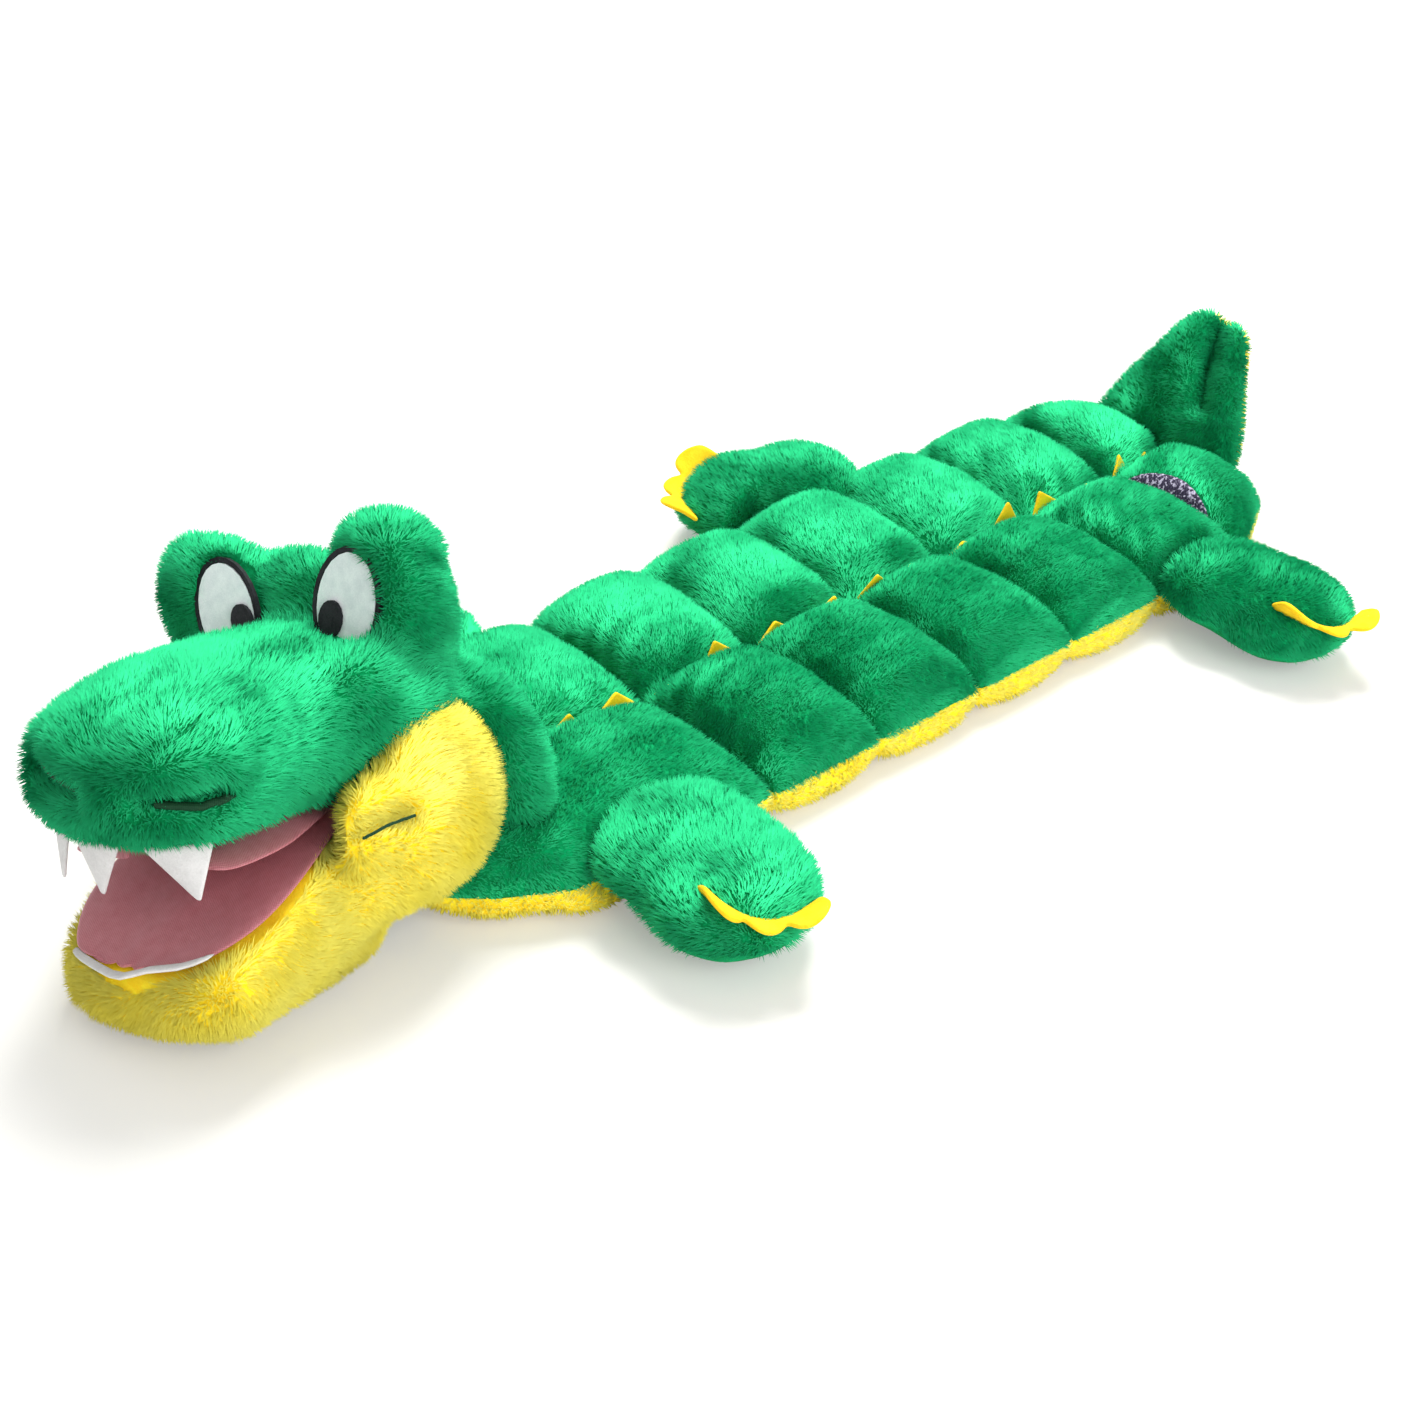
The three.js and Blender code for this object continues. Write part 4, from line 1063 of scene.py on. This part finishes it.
def lining_rows(rise_at, lift, hollow, growth, front):
    """Rows of a satin lining, hollow in the middle and drawn up at its edge, with small folds."""
    rows = []
    for back, half in zip(floor_backs, floor_halves):
        back = max(back, front)
        at_tip = back < wavy_from
        row = []
        for step in range(lining_columns):
            u = step / (lining_columns // 2) - 1
            fold = 0.5 * sin(step * 2.1 + back * 0.31) * (1 - abs(u)) + 0.35 * sin(back * 0.55 + step)
            rise = rise_at(back) + lift - hollow * (1 - u * u) + fold
            wide = half + growth + (wider_tip if u < 0 and at_tip and not growth else 0.0)
            row.append((u * wide, back + (0.8 * sin(step * 1.7) if at_tip else 0), rise))
        rows.append(row)
    return rows


tongue_rows = lining_rows(floor_rise, 1.2, 1.5, 0.0, tongue_front)
tongue = cloth_sheet("tongue_satin", tongue_rows, head_frame, satin_thickness, 2)
dress(tongue, pink_satin, "jaw", ["mouth_floor_lining"])
palate_rows = lining_rows(roof_rise, -5.0, -7.0, -3.0, palate_front)
palate = cloth_sheet("palate_satin", palate_rows, head_frame, satin_thickness, 2)
dress(palate, pink_satin, "head", ["mouth_roof_lining"])

# Lower teeth: a low strip of felt along the front edge of the tongue
gum_line = ((-27, -188), (-20, -191), (-9, -193.5), (5, -198.5), (10, -191.5), (22, -190.5), (31, -183))


def gum_point(side, back, share):
    """A place on the strip of teeth, for a share of its height from the root edge."""
    rise = floor_rise(back) + (0.6 if side < 0 else 2.2) - 0.6 * share
    return side, back + 3.0 * (1 - share) - 1.5, rise


gum_rows = [[gum_point(side, back, share) for side, back in gum_line] for share in (0.0, 0.5, 1.0)]
lower_teeth = cloth_sheet("lower_teeth_felt", gum_rows, head_frame, felt_thickness)
dress(lower_teeth, white_felt, "jaw", ["lower_teeth"])

# Felt claws: a leaf with three lobes, curled up at its sides and down at its points
claw_half, claw_columns, claw_steps = 21.0, 25, 6
claw_back, claw_front, claw_lobe, claw_curl = 7.0, 3.5, 5.5, 9.0
for name, (_, _, size) in leg_places.items():
    hand = claw_hands[name]
    claw_frame = (
        leg_frames[name]
        @ Matrix.Translation((0, -77.5 * size, 28 * size))
        @ Matrix.Rotation(radians(hand * 14), 4, "Y")
        @ Matrix.Rotation(radians(-hand * 21), 4, "Z")
        @ Matrix.Rotation(radians(-32), 4, "X")
    )
    rows = []
    for step in range(claw_steps + 1):
        row = []
        for column in range(claw_columns):
            across = column / (claw_columns // 2)
            x = claw_half * (across - 1)
            lobe = abs(sin(pi * 1.5 * across)) ** 0.6
            y = claw_back - (claw_back + claw_front + claw_lobe * lobe) * step / claw_steps
            z = claw_curl * ((x / claw_half) ** 2 - 0.6) - 0.035 * max(0.0, 2 - y) ** 2
            row.append((x, y, z))
        rows.append(row)
    claws = cloth_sheet(f"{name}_claw_felt", rows, claw_frame, claw_thickness)
    dress(claws, yellow_felt, f"{name}_leg", [f"{name}_claws"])

# Felt points along the back seam, no two alike
random = np.random.default_rng(7)
point_root, point_height, point_gap, point_share = 10.0, 13.0, 0.04, 0.44
for row in range(1, row_count + 1):
    low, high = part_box(f"spine_felt_{row}")
    middle = (low.x + high.x) / 2 / mm
    length = (high.y - low.y) / mm
    points = []
    for half in range(2):
        start = low.y / mm + length * (half + point_gap) / 2
        end = start + length * point_share
        tall, lean, slide = random.uniform(0.3, 1.2), random.uniform(-5, 5), random.uniform(-4, 4)
        rise = high.z / mm - point_root
        tip = (middle + lean, (start + end) / 2 + slide, rise + point_height * tall + 0.6)
        rows = pointed((middle, start, rise), (middle, end, rise), tip, (lean * 0.3, 0, 0))
        points.append(cloth_sheet("felt_point", rows, Matrix.Scale(mm, 4), point_thickness))
    spine = joined(f"spine_points_{row}", points)
    dress(spine, yellow_felt, f"row_{row}", [f"spine_felt_{row}"])

# Stitches at the nostrils and the corners of the mouth
nostril_thread, corner_thread, corner_proud = 2.6, 1.0, 0.0045
for hand, line in zip(("left", "right"), nostril_lines):
    inwards = head_axes @ Vector((0, 5.2, -0.6)) * mm
    thread = stitch(f"nostril_thread_{hand}", [point + inwards for point in line], nostril_thread)
    dress(thread, dark_thread, "head")
for hand, line in zip(("left", "right"), mouth_corners):
    out = head_axes @ Vector((corner_proud if hand == "left" else -corner_proud, 0.0, 0.0))
    thread = stitch(f"corner_thread_{hand}", [point + out for point in line], corner_thread)
    dress(thread, dark_thread, None)
    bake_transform(thread)

# Finishes of the pieces that keep their CAD form
kept_finishes = {
    "squeaker": squeaker_plastic,
    "eye_rim": black_felt,
    "eye_white": eye_felt,
    "pupil": black_felt,
}
for name, node in nodes.items():
    for start, material in kept_finishes.items():
        if name.startswith(start):
            node.data.materials.clear()
            node.data.materials.append(material)


# Floor, backdrop and light
bpy.ops.object.select_all(action="DESELECT")
floor_size, floor_drop = 40.0, 0.0004
bpy.ops.mesh.primitive_plane_add(size=floor_size, location=(0, 0, -floor_drop))
floor = bpy.context.object
floor.name = "floor"
floor_finish = bpy.data.materials.new("floor_finish")
floor_finish.use_nodes = True
tree = floor_finish.node_tree
tree.nodes.clear()
output = tree.nodes.new("ShaderNodeOutputMaterial")
rays = tree.nodes.new("ShaderNodeLightPath")
matt = tree.nodes.new("ShaderNodeBsdfDiffuse")
# The floor throws light back as a nearly white one does. To the camera it is darker with a glow
# added, so that the shadow stays light and the ground white
unlit, lit = (0.86, 0.855, 0.85, 1), (0.56, 0.553, 0.53, 1)
tree.links.new(mix_in(tree, rays.outputs["Is Camera Ray"], unlit, lit), matt.inputs["Color"])
glow = tree.nodes.new("ShaderNodeEmission")
seen = math_in(tree, "MAXIMUM", rays.outputs["Is Camera Ray"], rays.outputs["Is Glossy Ray"])
distance = tree.nodes.new("ShaderNodeVectorMath")
distance.operation = "LENGTH"
tree.links.new(tree.nodes.new("ShaderNodeTexCoord").outputs["Object"], distance.inputs[0])
near_glow, far_glow, near_edge, far_edge = 0.28, 1.0, 0.7, 1.6
glowing = spread_in(tree, distance.outputs["Value"], near_edge, far_edge, near_glow, far_glow)
tree.links.new(math_in(tree, "MULTIPLY", seen, glowing), glow.inputs["Strength"])
both = tree.nodes.new("ShaderNodeAddShader")
tree.links.new(matt.outputs[0], both.inputs[0])
tree.links.new(glow.outputs[0], both.inputs[1])
tree.links.new(both.outputs[0], output.inputs["Surface"])
floor.data.materials.append(floor_finish)

world = bpy.data.worlds.new("studio")
bpy.context.scene.world = world
world.use_nodes = True
tree = world.node_tree
rays = tree.nodes.new("ShaderNodeLightPath")
seen = math_in(tree, "MAXIMUM", rays.outputs["Is Camera Ray"], rays.outputs["Is Glossy Ray"])
seen = math_in(tree, "MAXIMUM", seen, rays.outputs["Is Transmission Ray"])
soft_light = 0.68
strength = spread_in(tree, seen, 0.0, 1.0, soft_light, 1.0)
tree.links.new(strength, tree.nodes["Background"].inputs["Strength"])
tree.nodes["Background"].inputs["Color"].default_value = (1, 1, 1, 1)


def lamp(name, place, aim, size, power):
    data = bpy.data.lights.new(name, "AREA")
    data.energy = power
    data.size = size
    light = bpy.data.objects.new(name, data)
    bpy.context.scene.collection.objects.link(light)
    light.location = place
    light.rotation_euler = (Vector(aim) - Vector(place)).to_track_quat("-Z", "Y").to_euler()


lamp("key", (-0.52, 0.62, 1.4), (0, -0.02, 0.03), 0.8, 50.0)
lamp("fill", (1.5, -0.1, 0.9), (0, 0, 0.05), 1.2, 22.0)

bpy.context.scene.view_settings.view_transform = "Standard"
